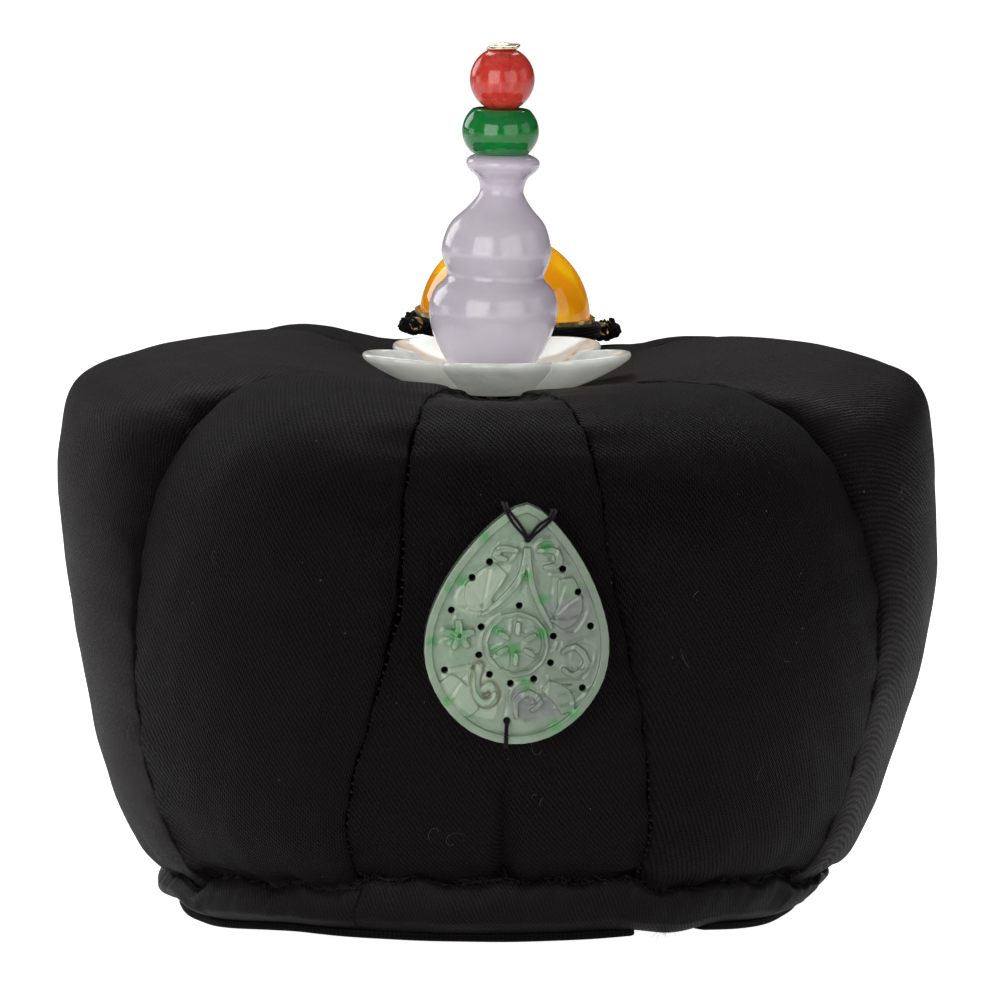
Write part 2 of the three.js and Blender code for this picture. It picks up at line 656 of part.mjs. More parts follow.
// Places in the plaque's own plane: u to the right and v up, seen from the front
const PIERCED = [
  { u: -5.0, v: 10.4 }, { u: -7.4, v: 7.9 }, { u: -10.1, v: 2.8 }, { u: -5.5, v: 0.6 }, { u: -5.5, v: -3.6 },
  { u: -3.7, v: -6.4 }, { u: -0.5, v: -7.5 }, { u: 2.9, v: -6.6 }, { u: 5.2, v: -4.0 }, { u: 5.3, v: 0.0 },
  { u: -0.1, v: 4.2 }, { u: 5.9, v: 10.1 }, { u: 8.4, v: 6.9 }, { u: 10.7, v: 1.9 }, { u: 10.2, v: -7.4 },
  { u: -10.4, v: -6.2 },
];
const TIES = [{ u: 0.4, v: 14.2 }, { u: -0.6, v: -13.1 }];
const HOLE_RADIUS = 0.55;
const MEDALLION = { u: -0.1, v: -1.5, radius: 4.9, wall: 0.6 };
const MEDALLION_BARS = 6;

const STROKES = [
  { width: 0.9, points: [[0.2, 13.0], [-0.3, 8.6], [-2.6, 5.2], [-5.6, 2.4]] },
  { width: 0.9, points: [[0.6, 13.0], [1.2, 8.6], [2.6, 5.0], [5.0, 1.2]] },
  { width: 1.1, points: [[-0.8, 12.4], [-3.4, 12.6], [-4.2, 11.4], [-2.4, 11.0]] },
  { width: 1.1, points: [[1.8, 12.6], [4.6, 12.8], [5.2, 10.8], [3.0, 10.2]] },
  { width: 1.2, points: [[-6.4, -5.6], [-6.0, -9.2], [-4.2, -10.6], [-2.6, -8.9]] },
  { width: 1.0, points: [[0.9, -12.6], [0.4, -10.2], [2.2, -8.6], [4.2, -10.0], [2.8, -11.4]] },
  { width: 1.0, points: [[6.6, -2.4], [8.6, -1.2], [10.6, -3.4], [8.8, -5.6], [7.0, -4.6]] },
];
const LEAVES = [
  { width: 4.4, points: [[-5.4, 3.2], [-6.2, 6.0], [-3.2, 9.6]] },
  { width: 3.8, points: [[5.6, 1.8], [7.4, 4.4], [6.4, 8.8]] },
  { width: 3.6, points: [[-10.2, -7.4], [-8.4, -9.4], [-5.6, -12.2]] },
  { width: 3.0, points: [[4.6, -7.4], [7.4, -9.0], [8.2, -11.2]] },
];
const WINGS = [20, 100, 170, 250, 310];

const layers = [extruded(new THREE.Shape(outline), PLAQUE.slab, 0)];
const rimShape = new THREE.Shape(outline);
rimShape.holes.push(new THREE.Path(inset(PLAQUE.rimWidth).reverse()));
const sunk = 0.4; // carved pieces run this far into the slab
layers.push(extruded(rimShape, PLAQUE.rimRise + sunk, PLAQUE.slab - sunk));
STROKES.forEach(({ width, points }) => {
  layers.push(extruded(ribbon(points, width), PLAQUE.relief + sunk, PLAQUE.slab - sunk));
});
LEAVES.forEach(({ width, points }) => {
  layers.push(extruded(ribbon(points, width), 0.6 * PLAQUE.relief + sunk, PLAQUE.slab - sunk));
});
WINGS.forEach((degrees) => {
  const reach = [Math.cos(degrees * DEGREE), Math.sin(degrees * DEGREE)];
  const heart = [-8.6, -0.8];
  const line = [0.3, 1.2, 2.3].map((d) => [heart[0] + d * reach[0], heart[1] + d * reach[1]]);
  layers.push(extruded(ribbon(line, 1.1, 4), PLAQUE.relief + sunk, PLAQUE.slab - sunk));
});
const medal = ring(MEDALLION.u, MEDALLION.v, MEDALLION.radius, MEDALLION.radius - MEDALLION.wall);
layers.push(extruded(medal, PLAQUE.relief + sunk, PLAQUE.slab - sunk));
for (let k = 0; k < MEDALLION_BARS; k += 1) {
  const angle = (k + 0.5) * 2 * Math.PI / MEDALLION_BARS;
  const spoke = [1.3, 2.3, 3.3].map((d) => [
    MEDALLION.u + d * Math.cos(angle),
    MEDALLION.v + d * Math.sin(angle),
  ]);
  layers.push(extruded(ribbon(spoke, 0.8, 3), PLAQUE.relief + sunk, PLAQUE.slab - sunk));
}
let carved = layers.reduce((whole, layer) => whole.add(layer));
[...PIERCED, ...TIES].forEach(({ u, v }) => {
  const drill = new THREE.CylinderGeometry(HOLE_RADIUS, HOLE_RADIUS, 4 * PLAQUE.slab, 8);
  drill.rotateX(Math.PI / 2);
  drill.translate(u, v, 0);
  carved = carved.subtract(solidOf(drill));
});

const plaque = addMesh(coronet, 'jade_plaque', geometryOf(carved), greenJade());
const facing = new THREE.Vector3(Math.sin(PLAQUE.turn * DEGREE), -Math.cos(PLAQUE.turn * DEGREE), 0);
const across = new THREE.Vector3(Math.cos(PLAQUE.turn * DEGREE), Math.sin(PLAQUE.turn * DEGREE), 0);
const upright = new THREE.Vector3(0, 0, 1);
const basis = new THREE.Matrix4().makeBasis(across, upright, facing);
plaque.quaternion.setFromRotationMatrix(basis);
plaque.rotateZ(PLAQUE.lean * DEGREE);
const plaqueReach = crownReach(facing, (p) => p.y < 0 && Math.abs(p.x - PLAQUE.x) < 15
  && Math.abs(p.z - PLAQUE.z) < 20);
const centre = facing.clone().multiplyScalar(plaqueReach + GAP);
centre.addScaledVector(across, (PLAQUE.x - centre.x) / across.x);
plaque.position.set(centre.x, centre.y, PLAQUE.z);

// The middle of the outer box stands over the origin, and the tape's underside at height 0
coronet.updateMatrixWorld(true);
const box = new THREE.Box3().setFromObject(coronet, true);
coronet.position.set(-(box.min.x + box.max.x) / 2, -(box.min.y + box.max.y) / 2, -box.min.z);

export default coronet;
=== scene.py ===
"""A padded bridal coronet of black silk with jade, amber and small beads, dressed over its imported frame."""

import functools
import math
import random

import bpy
import numpy as np
from bpy.props import FloatProperty, FloatVectorProperty, IntProperty, PointerProperty
from mathutils import Matrix, Vector


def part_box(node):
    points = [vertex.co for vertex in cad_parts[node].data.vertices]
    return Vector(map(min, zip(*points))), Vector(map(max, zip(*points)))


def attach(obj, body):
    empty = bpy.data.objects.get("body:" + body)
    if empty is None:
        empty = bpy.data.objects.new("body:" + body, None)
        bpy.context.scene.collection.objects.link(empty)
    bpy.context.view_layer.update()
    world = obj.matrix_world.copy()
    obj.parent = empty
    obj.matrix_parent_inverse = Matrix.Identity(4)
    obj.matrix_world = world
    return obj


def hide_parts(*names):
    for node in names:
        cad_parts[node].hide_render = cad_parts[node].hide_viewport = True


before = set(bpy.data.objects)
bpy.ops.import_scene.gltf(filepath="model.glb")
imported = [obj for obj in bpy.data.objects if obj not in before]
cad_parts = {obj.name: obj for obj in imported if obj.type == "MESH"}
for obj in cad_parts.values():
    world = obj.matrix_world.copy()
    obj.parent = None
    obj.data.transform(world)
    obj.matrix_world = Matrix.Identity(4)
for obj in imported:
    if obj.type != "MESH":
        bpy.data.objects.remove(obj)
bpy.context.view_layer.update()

bl_info = {
    "name": "Padded Bridal Coronet",
    "version": (1, 0, 0),
    "blender": (4, 5, 0),
    "location": "View3D > Sidebar > Coronet",
    "description": "Dresses a padded silk coronet with its beads, stones and stitching",
    "category": "Object",
}

MM = 0.001
TURN = 2 * math.pi
# Places nearer than this, in metres, are merged
MERGE = 1e-6
BODY = "root"

# The crown's axis, from the dish, which is even from side to side, and the gourd, which is even from
# front to back
dish_low, dish_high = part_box("lotus_dish")
gourd_low, gourd_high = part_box("gourd_bead")
AXIS = Vector(((dish_low.x + dish_high.x) / 2, (gourd_low.y + gourd_high.y) / 2, 0))
AXIS_MM = np.array(AXIS) / MM


# Numbers and arrays

def clamp01(x):
    return np.clip(x, 0.0, 1.0)


def ramp(x, low, high):
    """Rises smoothly from 0 to 1 between two limits."""
    f = clamp01((x - low) / (high - low))
    return f * f * (3 - 2 * f)


def mix(a, b, f):
    return a + (b - a) * f


def hump(x, width):
    """A smooth hump: 1 at nought, and about a third at the width."""
    return np.exp(-((x / width) ** 2))


def waves(x, table):
    """A sum of waves, each given as size, count and start."""
    return sum(size * np.sin(count * x + start) for size, count, start in table)


def unit(vectors):
    """Vectors brought to a length of 1."""
    return vectors / np.maximum(np.linalg.norm(vectors, axis=-1, keepdims=True), 1e-9)


def half_turn(degrees):
    """Directions in degrees from -180 to 180."""
    return (degrees + 180) % 360 - 180


def turned(flat, degrees):
    """Places in a plane, turned by an angle."""
    lean = math.radians(degrees)
    return flat @ np.array([[math.cos(lean), math.sin(lean)], [-math.sin(lean), math.cos(lean)]])


def direction(places):
    """Direction round the crown's axis in radians, 0 at the front, and distance from it."""
    x = places[..., 0] - AXIS_MM[0]
    y = places[..., 1] - AXIS_MM[1]
    return np.arctan2(x, -y), np.hypot(x, y)


def around(angle, radius, height, sway=0.0):
    """Places in mm from directions round the crown's axis, moved sideways."""
    return np.stack([radius * np.sin(angle) + sway, -radius * np.cos(angle), height], -1) + AXIS_MM


def spline(a, b, c, d, f):
    """A place on a smooth curve between b and c, with a before them and d after."""
    return 0.5 * (2 * b + (c - a) * f + (2 * a - 5 * b + 4 * c - d) * f**2 + (3 * b - a - 3 * c + d) * f**3)


def wander(places, size, seed, count=7):
    """A gentle unevenness from -1 to 1 over places in mm, with swells about size mm across."""
    dice = np.random.default_rng(seed)
    total = np.zeros(places.shape[:-1])
    for _ in range(count):
        heading = unit(dice.normal(size=3))
        wave = TURN / (size * dice.uniform(0.7, 1.6))
        total += np.sin(places @ heading * wave + dice.uniform(0, TURN))
    return total / math.sqrt(count) / 1.5


def smooth_line(points, count):
    """Points spaced along a smooth curve through a few given ones."""
    keys = np.array(points, float)
    padded = np.vstack([2 * keys[0] - keys[1], keys, 2 * keys[-1] - keys[-2]])
    result = []
    for x in np.linspace(0, len(keys) - 1, count):
        i = min(int(x), len(keys) - 2)
        result.append(spline(*padded[i:i + 4], x - i))
    return np.array(result)


# The crown's shape: one row per level, from the hole at the top centre, over the ridge, to the hem.
# Each pair is a radius and a height in mm along one line of the cloth, as in the part's own source.
LINES = ("side_seam", "front_seam", "side_ridge", "shoulder_ridge", "front_ridge")
LEVELS = np.array([
    [[3.0, 79.0], [3.0, 79.0], [3.0, 79.0], [3.0, 79.0], [3.0, 79.0]],
    [[12.0, 80.2], [12.0, 80.0], [13.0, 80.6], [12.5, 80.4], [12.0, 79.6]],
    [[22.0, 82.6], [23.0, 82.2], [25.0, 83.7], [24.0, 83.2], [23.5, 80.7]],
    [[31.5, 84.0], [34.0, 83.7], [36.5, 86.0], [36.0, 85.2], [35.0, 82.1]],
    [[40.5, 82.3], [45.0, 83.4], [48.0, 85.8], [46.5, 84.6], [46.0, 83.4]],
    [[48.5, 78.6], [53.0, 80.0], [57.6, 83.9], [55.0, 80.8], [54.0, 80.6]],
    [[55.5, 72.4], [58.6, 74.2], [65.1, 80.3], [61.0, 74.4], [59.6, 74.8]],
    [[60.5, 64.0], [61.8, 65.5], [67.5, 72.5], [64.4, 65.5], [62.8, 66.0]],
    [[63.6, 54.0], [63.3, 55.0], [67.7, 61.5], [65.8, 55.0], [64.2, 55.5]],
    [[64.4, 43.0], [63.5, 44.0], [66.6, 48.0], [65.8, 44.0], [64.2, 44.5]],
    [[62.8, 30.5], [62.0, 32.5], [63.6, 33.0], [63.6, 32.0], [62.6, 33.0]],
    [[59.2, 19.0], [58.8, 22.0], [59.9, 19.5], [60.0, 20.8], [59.2, 22.5]],
    [[54.8, 10.8], [54.4, 14.8], [55.5, 10.4], [55.2, 12.8], [54.4, 15.2]],
    [[50.6, 7.0], [50.0, 11.2], [50.8, 6.2], [50.6, 9.2], [50.0, 11.4]],
])

# Seam directions in degrees from the front, + towards +X: at the top, at mid height and at the hem
SEAMS = {
    "front_left": (-13.6, -13.2, -23.6, "front_seam"),
    "front_right": (10.5, 15.2, 24, "front_seam"),
    "side_left": (-60, -59.5, -60, "side_seam"),
    "side_right": (57, 62.5, 61, "side_seam"),
    "rear_side_left": (238, 240, 240, "side_seam"),
    "rear_side_right": (122, 120, 119, "side_seam"),
    "back_left": (195, 195, 204, "front_seam"),
    "back_right": (165, 165, 156, "front_seam"),
}

# The gores round the crown: node, the two seams that it lies between, its ridge and the lean of its ribs
GORES = [dict(zip(("node", "start", "end", "ridge", "lean"), row)) for row in (
    ("gore_front", "front_left", "front_right", "front_ridge", 36),
    ("gore_front_left", "front_right", "side_right", "shoulder_ridge", 27),
    ("gore_side_left", "side_right", "rear_side_right", "side_ridge", 46),
    ("gore_back_left", "rear_side_right", "back_right", "shoulder_ridge", 22),
    ("gore_back", "back_right", "back_left", "front_ridge", 24),
    ("gore_back_right", "back_left", "rear_side_left", "shoulder_ridge", 28),
    ("gore_side_right", "rear_side_left", "side_left", "side_ridge", 50),
    ("gore_front_right", "side_left", "front_left", "shoulder_ridge", 37),
)]

# How much the soft top stands up, in mm, at directions in degrees
UNEVEN_TOP = np.array([
    [-180, -0.6], [-150, -1.1], [-134, 2.5], [-122, 2.8], [-100, 1.4], [-80, 0.4], [-20, 0.0], [0, 0.0],
    [20, -0.6], [57, -1.4], [80, 0.2], [100, 1.0], [122, 1.9], [135, 0.2], [150, -2.6], [180, -0.6],
])

TAPE = {"inner": 44.5, "outer": 47.9, "height": 1.4, "start": 43, "sweep": 346, "front_rise": 1.7}
BASE_SWAY = -1.5
PLAQUE = {"x": 3.0, "z": 51.4, "turn": 2.5, "lean": -4.5, "slab": 2.6}
AMBER = {"x": 1.1, "y": 33.0, "radius": 13.4, "lean": 3.2}
LASHING = {"height": 1.2, "plate": 0.7, "gap": 0.3, "knot_reach": 16.8}
# Direction of each lug in degrees, and the height of its knot in mm
LUGS = ((18, 0.75), (213, 1.5))
# How far the amber is pressed into the padding, in mm
AMBER_SINK = 0.7
# How far the sewn edges of two gores lie over each other on the inside, in mm
SEAM_LAP = 0.4
# The middle of the crown's inside, in mm: the cloth's outward side faces away from it
CROWN_MIDDLE = AXIS_MM + [0, 0, 45.0]

# Waves round the hem: size in mm, count and start
HEM_SCALLOPS = ((0.34, 19, 0.6), (0.26, 31, 2.2), (0.2, 47, 0.0))
HEM_GATHERS = ((0.5, 23, 1.1), (0.45, 41, 0.3), (0.3, 67, 2.0))
BAND_PLEATS = ((0.5, 29, 0.4), (0.4, 53, 1.3), (0.35, 83, 2.6), (0.2, 131, 0.0))
BAND_SWELLS = ((0.6, 7, 1.0), (0.4, 11, 2.0))
TAPE_WAVES = ((0.12, 9, 0.0), (0.08, 23, 0.0))


# Sizes and colours that a user would change

class CrownSizes(bpy.types.PropertyGroup):
    """Sizes of the padded silk crown"""
    wall: FloatProperty(name="Wall", description="Padded wall at the seams, in mm", default=3.6)
    seam_gap: FloatProperty(name="Seam gap", description="Opening between two gores, in mm", default=0.08)
    sway: FloatProperty(name="Sway", description="How far the middle bulges to one side, in mm", default=0.8)
    stitch_pitch: FloatProperty(name="Stitch pitch", description="From one seam stitch to the next, in mm",
                                default=2.9)
    pucker: FloatProperty(name="Pucker", description="Depth of the puckers along the seams, in mm",
                          default=0.1)
    rows: IntProperty(name="Rows", description="Levels of the cloth mesh", default=170)
    columns: IntProperty(name="Columns", description="Places across the cloth mesh", default=56)


class ClothLook(bpy.types.PropertyGroup):
    """Colours and weave of the silk"""
    # The dark colour paints shade between the ribs, and the light colour paints sheen on them
    dark: FloatVectorProperty(name="Dark silk", description="Colour between the ribs", subtype="COLOR",
                              default=(0.0008, 0.0006, 0.0007))
    light: FloatVectorProperty(name="Light silk", description="Colour on the ribs", subtype="COLOR",
                               default=(0.0084, 0.0066, 0.0076))
    rib_pitch: FloatProperty(name="Rib pitch", description="From rib to rib of the twill, in mm",
                             default=0.66)
    lint: FloatProperty(name="Lint", description="How much lint lies on the cloth", default=0.8, min=0, max=1)


class StoneLook(bpy.types.PropertyGroup):
    """Colours of the stones and beads"""
    pale_jade: FloatVectorProperty(name="Pale jade", description="Colour of the dish", subtype="COLOR",
                                   default=(0.66, 0.68, 0.63))
    lavender: FloatVectorProperty(name="Lavender jade", description="Colour of the gourd bead",
                                  subtype="COLOR", default=(0.70, 0.615, 0.735))
    green: FloatVectorProperty(name="Green stone", description="Colour of the green bead", subtype="COLOR",
                               default=(0.004, 0.24, 0.036))
    red: FloatVectorProperty(name="Red stone", description="Colour of the red bead", subtype="COLOR",
                             default=(0.76, 0.058, 0.042))
    amber: FloatVectorProperty(name="Amber", description="Colour of the amber", subtype="COLOR",
                               default=(0.95, 0.46, 0.015))
    plaque: FloatVectorProperty(name="Plaque jade", description="Ground colour of the plaque",
                                subtype="COLOR", default=(0.215, 0.285, 0.205))


class StageSettings(bpy.types.PropertyGroup):
    """Camera and lights"""
    distance: FloatProperty(name="Distance", description="Camera to the crown's axis", default=1.6,
                            unit="LENGTH")
    eye_height: FloatProperty(name="Eye height", description="Camera above the floor", default=0.262,
                              unit="LENGTH")
    aim_height: FloatProperty(name="Aim height", description="Height that the camera looks at", default=0.063,
                              unit="LENGTH")
    lens: FloatProperty(name="Lens", description="Focal length in mm", default=375.9)
    key_power: FloatProperty(name="Front light", description="Power of the front left softbox, in watts",
                             default=2.6)
    top_power: FloatProperty(name="Top light", description="Power of the overhead softbox, in watts",
                             default=3.5)


def settings():
    return bpy.context.scene


# Shape of the cloth

def line_at(line, fraction):
    """Radius and height of one line of the cloth at fractions of the way from the top to the hem."""
    column = LEVELS[:, LINES.index(line)]
    last = len(LEVELS) - 1
    x = clamp01(fraction) * last
    i = np.minimum(np.floor(x).astype(int), last - 1)
    return spline(column[np.maximum(i - 1, 0)], column[i], column[i + 1], column[np.minimum(i + 2, last)],
                  (x - i)[..., None])


def seam_angle(name, fraction):
    """Direction of a seam in radians."""
    top, middle, hem, _ = SEAMS[name]
    upper = ramp(fraction, 0, 0.55)
    lower = ramp(fraction, 0.55, 0.93)
    return np.radians(top + (middle - top) * upper + (hem - middle) * lower)


def uneven_lift(angle):
    """How much the soft top stands up in each direction, in mm."""
    degrees = half_turn(np.degrees(angle))
    blur = 8
    return sum(np.interp(half_turn(degrees + turn), *UNEVEN_TOP.T) for turn in (-blur, 0, blur)) / 3


def crown_place(angle, radius, height):
    """Places in mm in the scene, with the crown's own unevenness."""
    lift = uneven_lift(angle) * ramp(radius, 14, 34) * ramp(height, 45, 83)
    sway = settings().crown_sizes.sway * ramp(height, 24, 40) * (1 - ramp(height, 52, 66))
    return around(angle, radius, height + lift, sway)


def gore_angle(gore, down, across, radius, gap):
    """Direction of a place on a gore, with half a gap left open at each seam."""
    start = seam_angle(gore["start"], down)
    end = seam_angle(gore["end"], down)
    end = np.where(end < start, end + TURN, end)
    margin = gap / 2 / np.maximum(radius, 1)
    return mix(start + margin, end - margin, across)


def flat_line(gore, down, across):
    """The cloth without its padding's swell."""
    start, end = (line_at(SEAMS[gore[side]][-1], down) for side in ("start", "end"))
    return mix(start, end, across[..., None])


def nearest(places, line):
    """Distance from each place in a plane to the nearest point of a line."""
    reach = np.full(len(places), np.inf)
    for point in line:
        reach = np.minimum(reach, (places[:, 0] - point[0]) ** 2 + (places[:, 1] - point[1]) ** 2)
    return np.sqrt(reach)


def inside_loop(places, line):
    """Whether each place in a plane lies inside a closed line."""
    inside = np.zeros(len(places), dtype=bool)
    for start, end in zip(line, line[1:]):
        crosses = (start[1] > places[:, 1]) != (end[1] > places[:, 1])
        rise = end[1] - start[1] if end[1] != start[1] else 1e-9
        inside ^= crosses & (places[:, 0] < (end[0] - start[0]) * (places[:, 1] - start[1]) / rise + start[0])
    return inside


def swell(across):
    return (4 * across * (1 - across)) ** 0.43


def outer_cloth(gore, down, across):
    """The outside of a gore in mm."""
    flat = flat_line(gore, down, across)
    full = mix(flat, line_at(gore["ridge"], down), swell(across)[..., None])
    angle = gore_angle(gore, down, across, full[..., 0], settings().crown_sizes.seam_gap)
    return crown_place(angle, full[..., 0], full[..., 1])


def inner_cloth(gore, down, across):
    """The inside of a gore's padded wall in mm."""
    here = flat_line(gore, down, across)
    before = flat_line(gore, np.maximum(down - 0.02, 0), across)
    after = flat_line(gore, np.minimum(down + 0.02, 1), across)
    along = unit(after - before)
    level = ramp(down, 0.8, 0.96)
    wall = settings().crown_sizes.wall
    radius = here[..., 0] + wall * mix(along[..., 1], -1, level)
    ridge = line_at(gore["ridge"], down)
    hem = mix(here[..., 1], ridge[..., 1], swell(across))
    height = mix(here[..., 1] + wall * mix(-along[..., 0], 0, level), hem, level)
    angle = gore_angle(gore, down, across, radius, -SEAM_LAP)
    return crown_place(angle, radius, height)


def surface_normals(grid):
    """Outward directions over a grid of places."""
    normal = unit(np.cross(np.gradient(grid, axis=0), np.gradient(grid, axis=1)))
    outward = np.sum(normal * (grid - CROWN_MIDDLE), axis=-1).mean()
    return normal if outward > 0 else -normal


def arc_length(grid, axis):
    """Length in mm from the first row or column of a grid."""
    pieces = np.linalg.norm(np.diff(grid, axis=axis), axis=-1)
    start = np.zeros_like(np.take(pieces, [0], axis=axis))
    return np.concatenate([start, np.cumsum(pieces, axis=axis)], axis=axis)


def cloth_detail(gore, grid, number):
    """How far the cloth stands out or in, in mm: puckers, soft hollows, hem gathers and the front crease."""
    sizes = settings().crown_sizes
    down_length = arc_length(grid, 0)
    across_length = arc_length(grid, 1)
    angle, radius = direction(grid)
    detail = 0.30 * wander(grid, 26, 11) + 0.10 * wander(grid, 9, 12)
    for side, distance in enumerate((across_length, across_length[:, -1:] - across_length)):
        along = down_length[:, [-side]]
        phase = along * TURN / sizes.stitch_pitch + 0.7 * np.sin(along * 0.37 + number + side)
        reach = 1.5 + 0.5 * np.sin(along * 0.53 + 2 * number + side)
        detail -= sizes.pucker * (0.5 + 0.5 * np.cos(phase)) * hump(distance, reach)
        detail -= 0.06 * np.exp(-distance / 0.3)
        long_fold = waves(along, ((0.16, 0.61, 3 * number + side), (0.12, 1.13, number)))
        detail += long_fold * np.exp(-distance / 5.0)
    from_hem = down_length[-1:, :] - down_length
    detail += 0.34 * waves(angle, HEM_GATHERS) * np.exp(-from_hem / 6.5)
    detail -= 0.9 * hump(from_hem, 1.6)
    if gore["node"] == "gore_front":
        side_step = grid[..., 0] - AXIS_MM[0] - 1.1
        height = grid[..., 2]
        shown = 1 - ramp(height, 29, 37)
        depth = 0.35 + 1.75 * (1 - ramp(height, 12, 32))
        half_width = 0.8 + 0.7 * (1 - ramp(height, 12, 26))
        detail -= depth * shown * hump(side_step, half_width)
        detail += 0.35 * shown * hump(side_step - 4.2, 2.4) * (1 - ramp(height, 14, 26))
    return detail * ramp(radius, 6, 14)


# Making meshes

def mesh_piece(name, places, faces, material, uvs, angle):
    """A mesh object from places in mm, riding on the body, with one UV pair for each place."""
    mesh = bpy.data.meshes.new(name)
    mesh.from_pydata((places * MM).tolist(), [], faces)
    mesh.materials.append(material)
    layer = mesh.uv_layers.new(name="Cloth")
    corners = np.empty(len(mesh.loops), dtype=int)
    mesh.loops.foreach_get("vertex_index", corners)
    layer.data.foreach_set("uv", uvs[corners].ravel())
    mesh.validate()
    piece = bpy.data.objects.new(name, mesh)
    bpy.context.scene.collection.objects.link(piece)
    only(piece)
    with_mesh(bpy.ops.mesh.normals_make_consistent, inside=False)
    bpy.ops.object.shade_smooth_by_angle(angle=math.radians(angle))
    return ride(piece)


def only(piece):
    """Selects one object alone and makes it active."""
    bpy.ops.object.select_all(action="DESELECT")
    piece.select_set(True)
    bpy.context.view_layer.objects.active = piece


def with_mesh(operator, **values):
    """Runs one operator on the whole mesh of the active object."""
    bpy.ops.object.mode_set(mode="EDIT")
    bpy.ops.mesh.select_all(action="SELECT")
    operator(**values)
    bpy.ops.object.mode_set(mode="OBJECT")


def ride(piece):
    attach(piece, BODY)
    return piece


def settle(piece):
    """Puts an object's place into its mesh, and leaves the object at the origin."""
    only(piece)
    bpy.ops.object.transform_apply(location=True, rotation=True, scale=True)


def paint(piece, material):
    piece.data.materials.clear()
    piece.data.materials.append(material)


def merged_copy(node, name):
    """A node's own mesh as a new piece, with its loose triangles merged."""
    only(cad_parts[node])
    bpy.ops.object.duplicate()
    piece = bpy.context.object
    piece.name = name
    for key in list(piece.keys()):
        del piece[key]
    piece.parent = None
    with_mesh(bpy.ops.mesh.remove_doubles, threshold=MERGE)
    return piece


def grid_faces(rows, columns, first=0, round_rows=False, round_columns=False):
    """Four-sided faces over a grid of places, joined round in rings where asked."""
    faces = []
    for i in range(rows if round_rows else rows - 1):
        here = first + i * columns
        below = first + (i + 1) % rows * columns
        for j in range(columns if round_columns else columns - 1):
            k = (j + 1) % columns
            faces.append((here + j, here + k, below + k, below + j))
    return faces


def turned_piece(name, profile, steps=96, lean=None, foot=(0, 0, 0)):
    """A solid spun round Z from a line of radius and height in mm, then leaned over and set on its foot."""
    line = [Vector((r * MM, 0, z * MM)) for r, z in profile]
    bpy.ops.object.select_all(action="DESELECT")
    bpy.ops.mesh.primitive_plane_add(size=MM)
    piece = bpy.context.object
    piece.name = name
    bpy.ops.object.mode_set(mode="EDIT")
    bpy.ops.mesh.merge(type="CENTER")
    bpy.ops.transform.translate(value=line[0])
    for before, after in zip(line, line[1:]):
        bpy.ops.mesh.extrude_region_move(TRANSFORM_OT_translate={"value": after - before})
    bpy.ops.mesh.select_all(action="SELECT")
    bpy.ops.mesh.spin(steps=steps, angle=TURN, center=(0, 0, 0), axis=(0, 0, 1))
    bpy.ops.mesh.select_all(action="SELECT")
    bpy.ops.mesh.remove_doubles(threshold=MERGE)
    bpy.ops.mesh.normals_make_consistent(inside=False)
    bpy.ops.object.mode_set(mode="OBJECT")
    if lean is not None:
        piece.rotation_euler = lean
    piece.location = Vector(foot) * MM + AXIS
    settle(piece)
    bpy.ops.object.shade_smooth_by_angle(angle=math.radians(45))
    return piece


def thread_piece(name, lines, radius, material, sides=0, taper=0.0):
    """Threads along lines of places in mm, as one mesh, thinner at the far end by the taper."""
    curve = bpy.data.curves.new(name, "CURVE")
    curve.dimensions = "3D"
    curve.bevel_depth = radius * MM
    curve.bevel_resolution = sides
    curve.use_fill_caps = True
    for line in lines:
        strand = curve.splines.new("POLY")
        strand.points.add(len(line) - 1)
        for k, (point, place) in enumerate(zip(strand.points, line)):
            point.co = (*(np.asarray(place) * MM), 1)
            point.radius = 1.0 - taper * k / (len(line) - 1)
    piece = bpy.data.objects.new(name, curve)
    bpy.context.scene.collection.objects.link(piece)
    only(piece)
    bpy.ops.object.convert(target="MESH")
    piece = bpy.context.object
    paint(piece, material)
    bpy.ops.object.shade_smooth()
    return ride(piece)


# Shader groups

def new_group(name, inputs, outputs):
    """A shader node group with its in and out nodes. An input is a name and a default, a vector if None."""
    group = bpy.data.node_groups.new(name, "ShaderNodeTree")
    for label, value in inputs.items():
        kind = "NodeSocketVector" if value is None else "NodeSocketFloat"
        socket = group.interface.new_socket(name=label, in_out="INPUT", socket_type=kind)
        if value is not None:
            socket.default_value = value
    for label in outputs:
        group.interface.new_socket(name=label, in_out="OUTPUT", socket_type="NodeSocketFloat")
    return group, group.nodes.new("NodeGroupInput").outputs, group.nodes.new("NodeGroupOutput")


def feed(tree, source, target):
    """Links a socket, or sets a plain value."""
    if isinstance(source, bpy.types.NodeSocket):
        tree.links.new(source, target)
    else:
        target.default_value = source


def wire(tree, node, **sources):
    """Feeds the named inputs of a node."""
    for label, source in sources.items():
        feed(tree, source, node.inputs[label.replace("_", " ")])
    return node


def add_node(tree, kind, **sources):
    return wire(tree, tree.nodes.new("ShaderNode" + kind), **sources)


def maths(tree, operation, *values):
    node = add_node(tree, "Math")
    node.operation = operation
    for socket, value in zip(node.inputs, values):
        feed(tree, value, socket)
    return node.outputs[0]


def times(tree, first, *others):
    """The product of two or more values."""
    for other in others:
        first = maths(tree, "MULTIPLY", first, other)
    return first


def scaled(tree, value, factor, start):
    """A value times a factor, plus a start."""
    return maths(tree, "MULTIPLY_ADD", value, factor, start)


def blend_colours(tree, factor, first, second):
    node = add_node(tree, "Mix")
    node.data_type = "RGBA"
    for number, source in ((0, factor), (6, first), (7, second)):
        feed(tree, source, node.inputs[number])
    return node.outputs[2]


def noise(tree, vector, scale, detail=3.0, roughness=0.55, distortion=0.0):
    return add_node(tree, "TexNoise", Vector=vector, Scale=scale, Detail=detail, Roughness=roughness,
                    Distortion=distortion).outputs["Fac"]


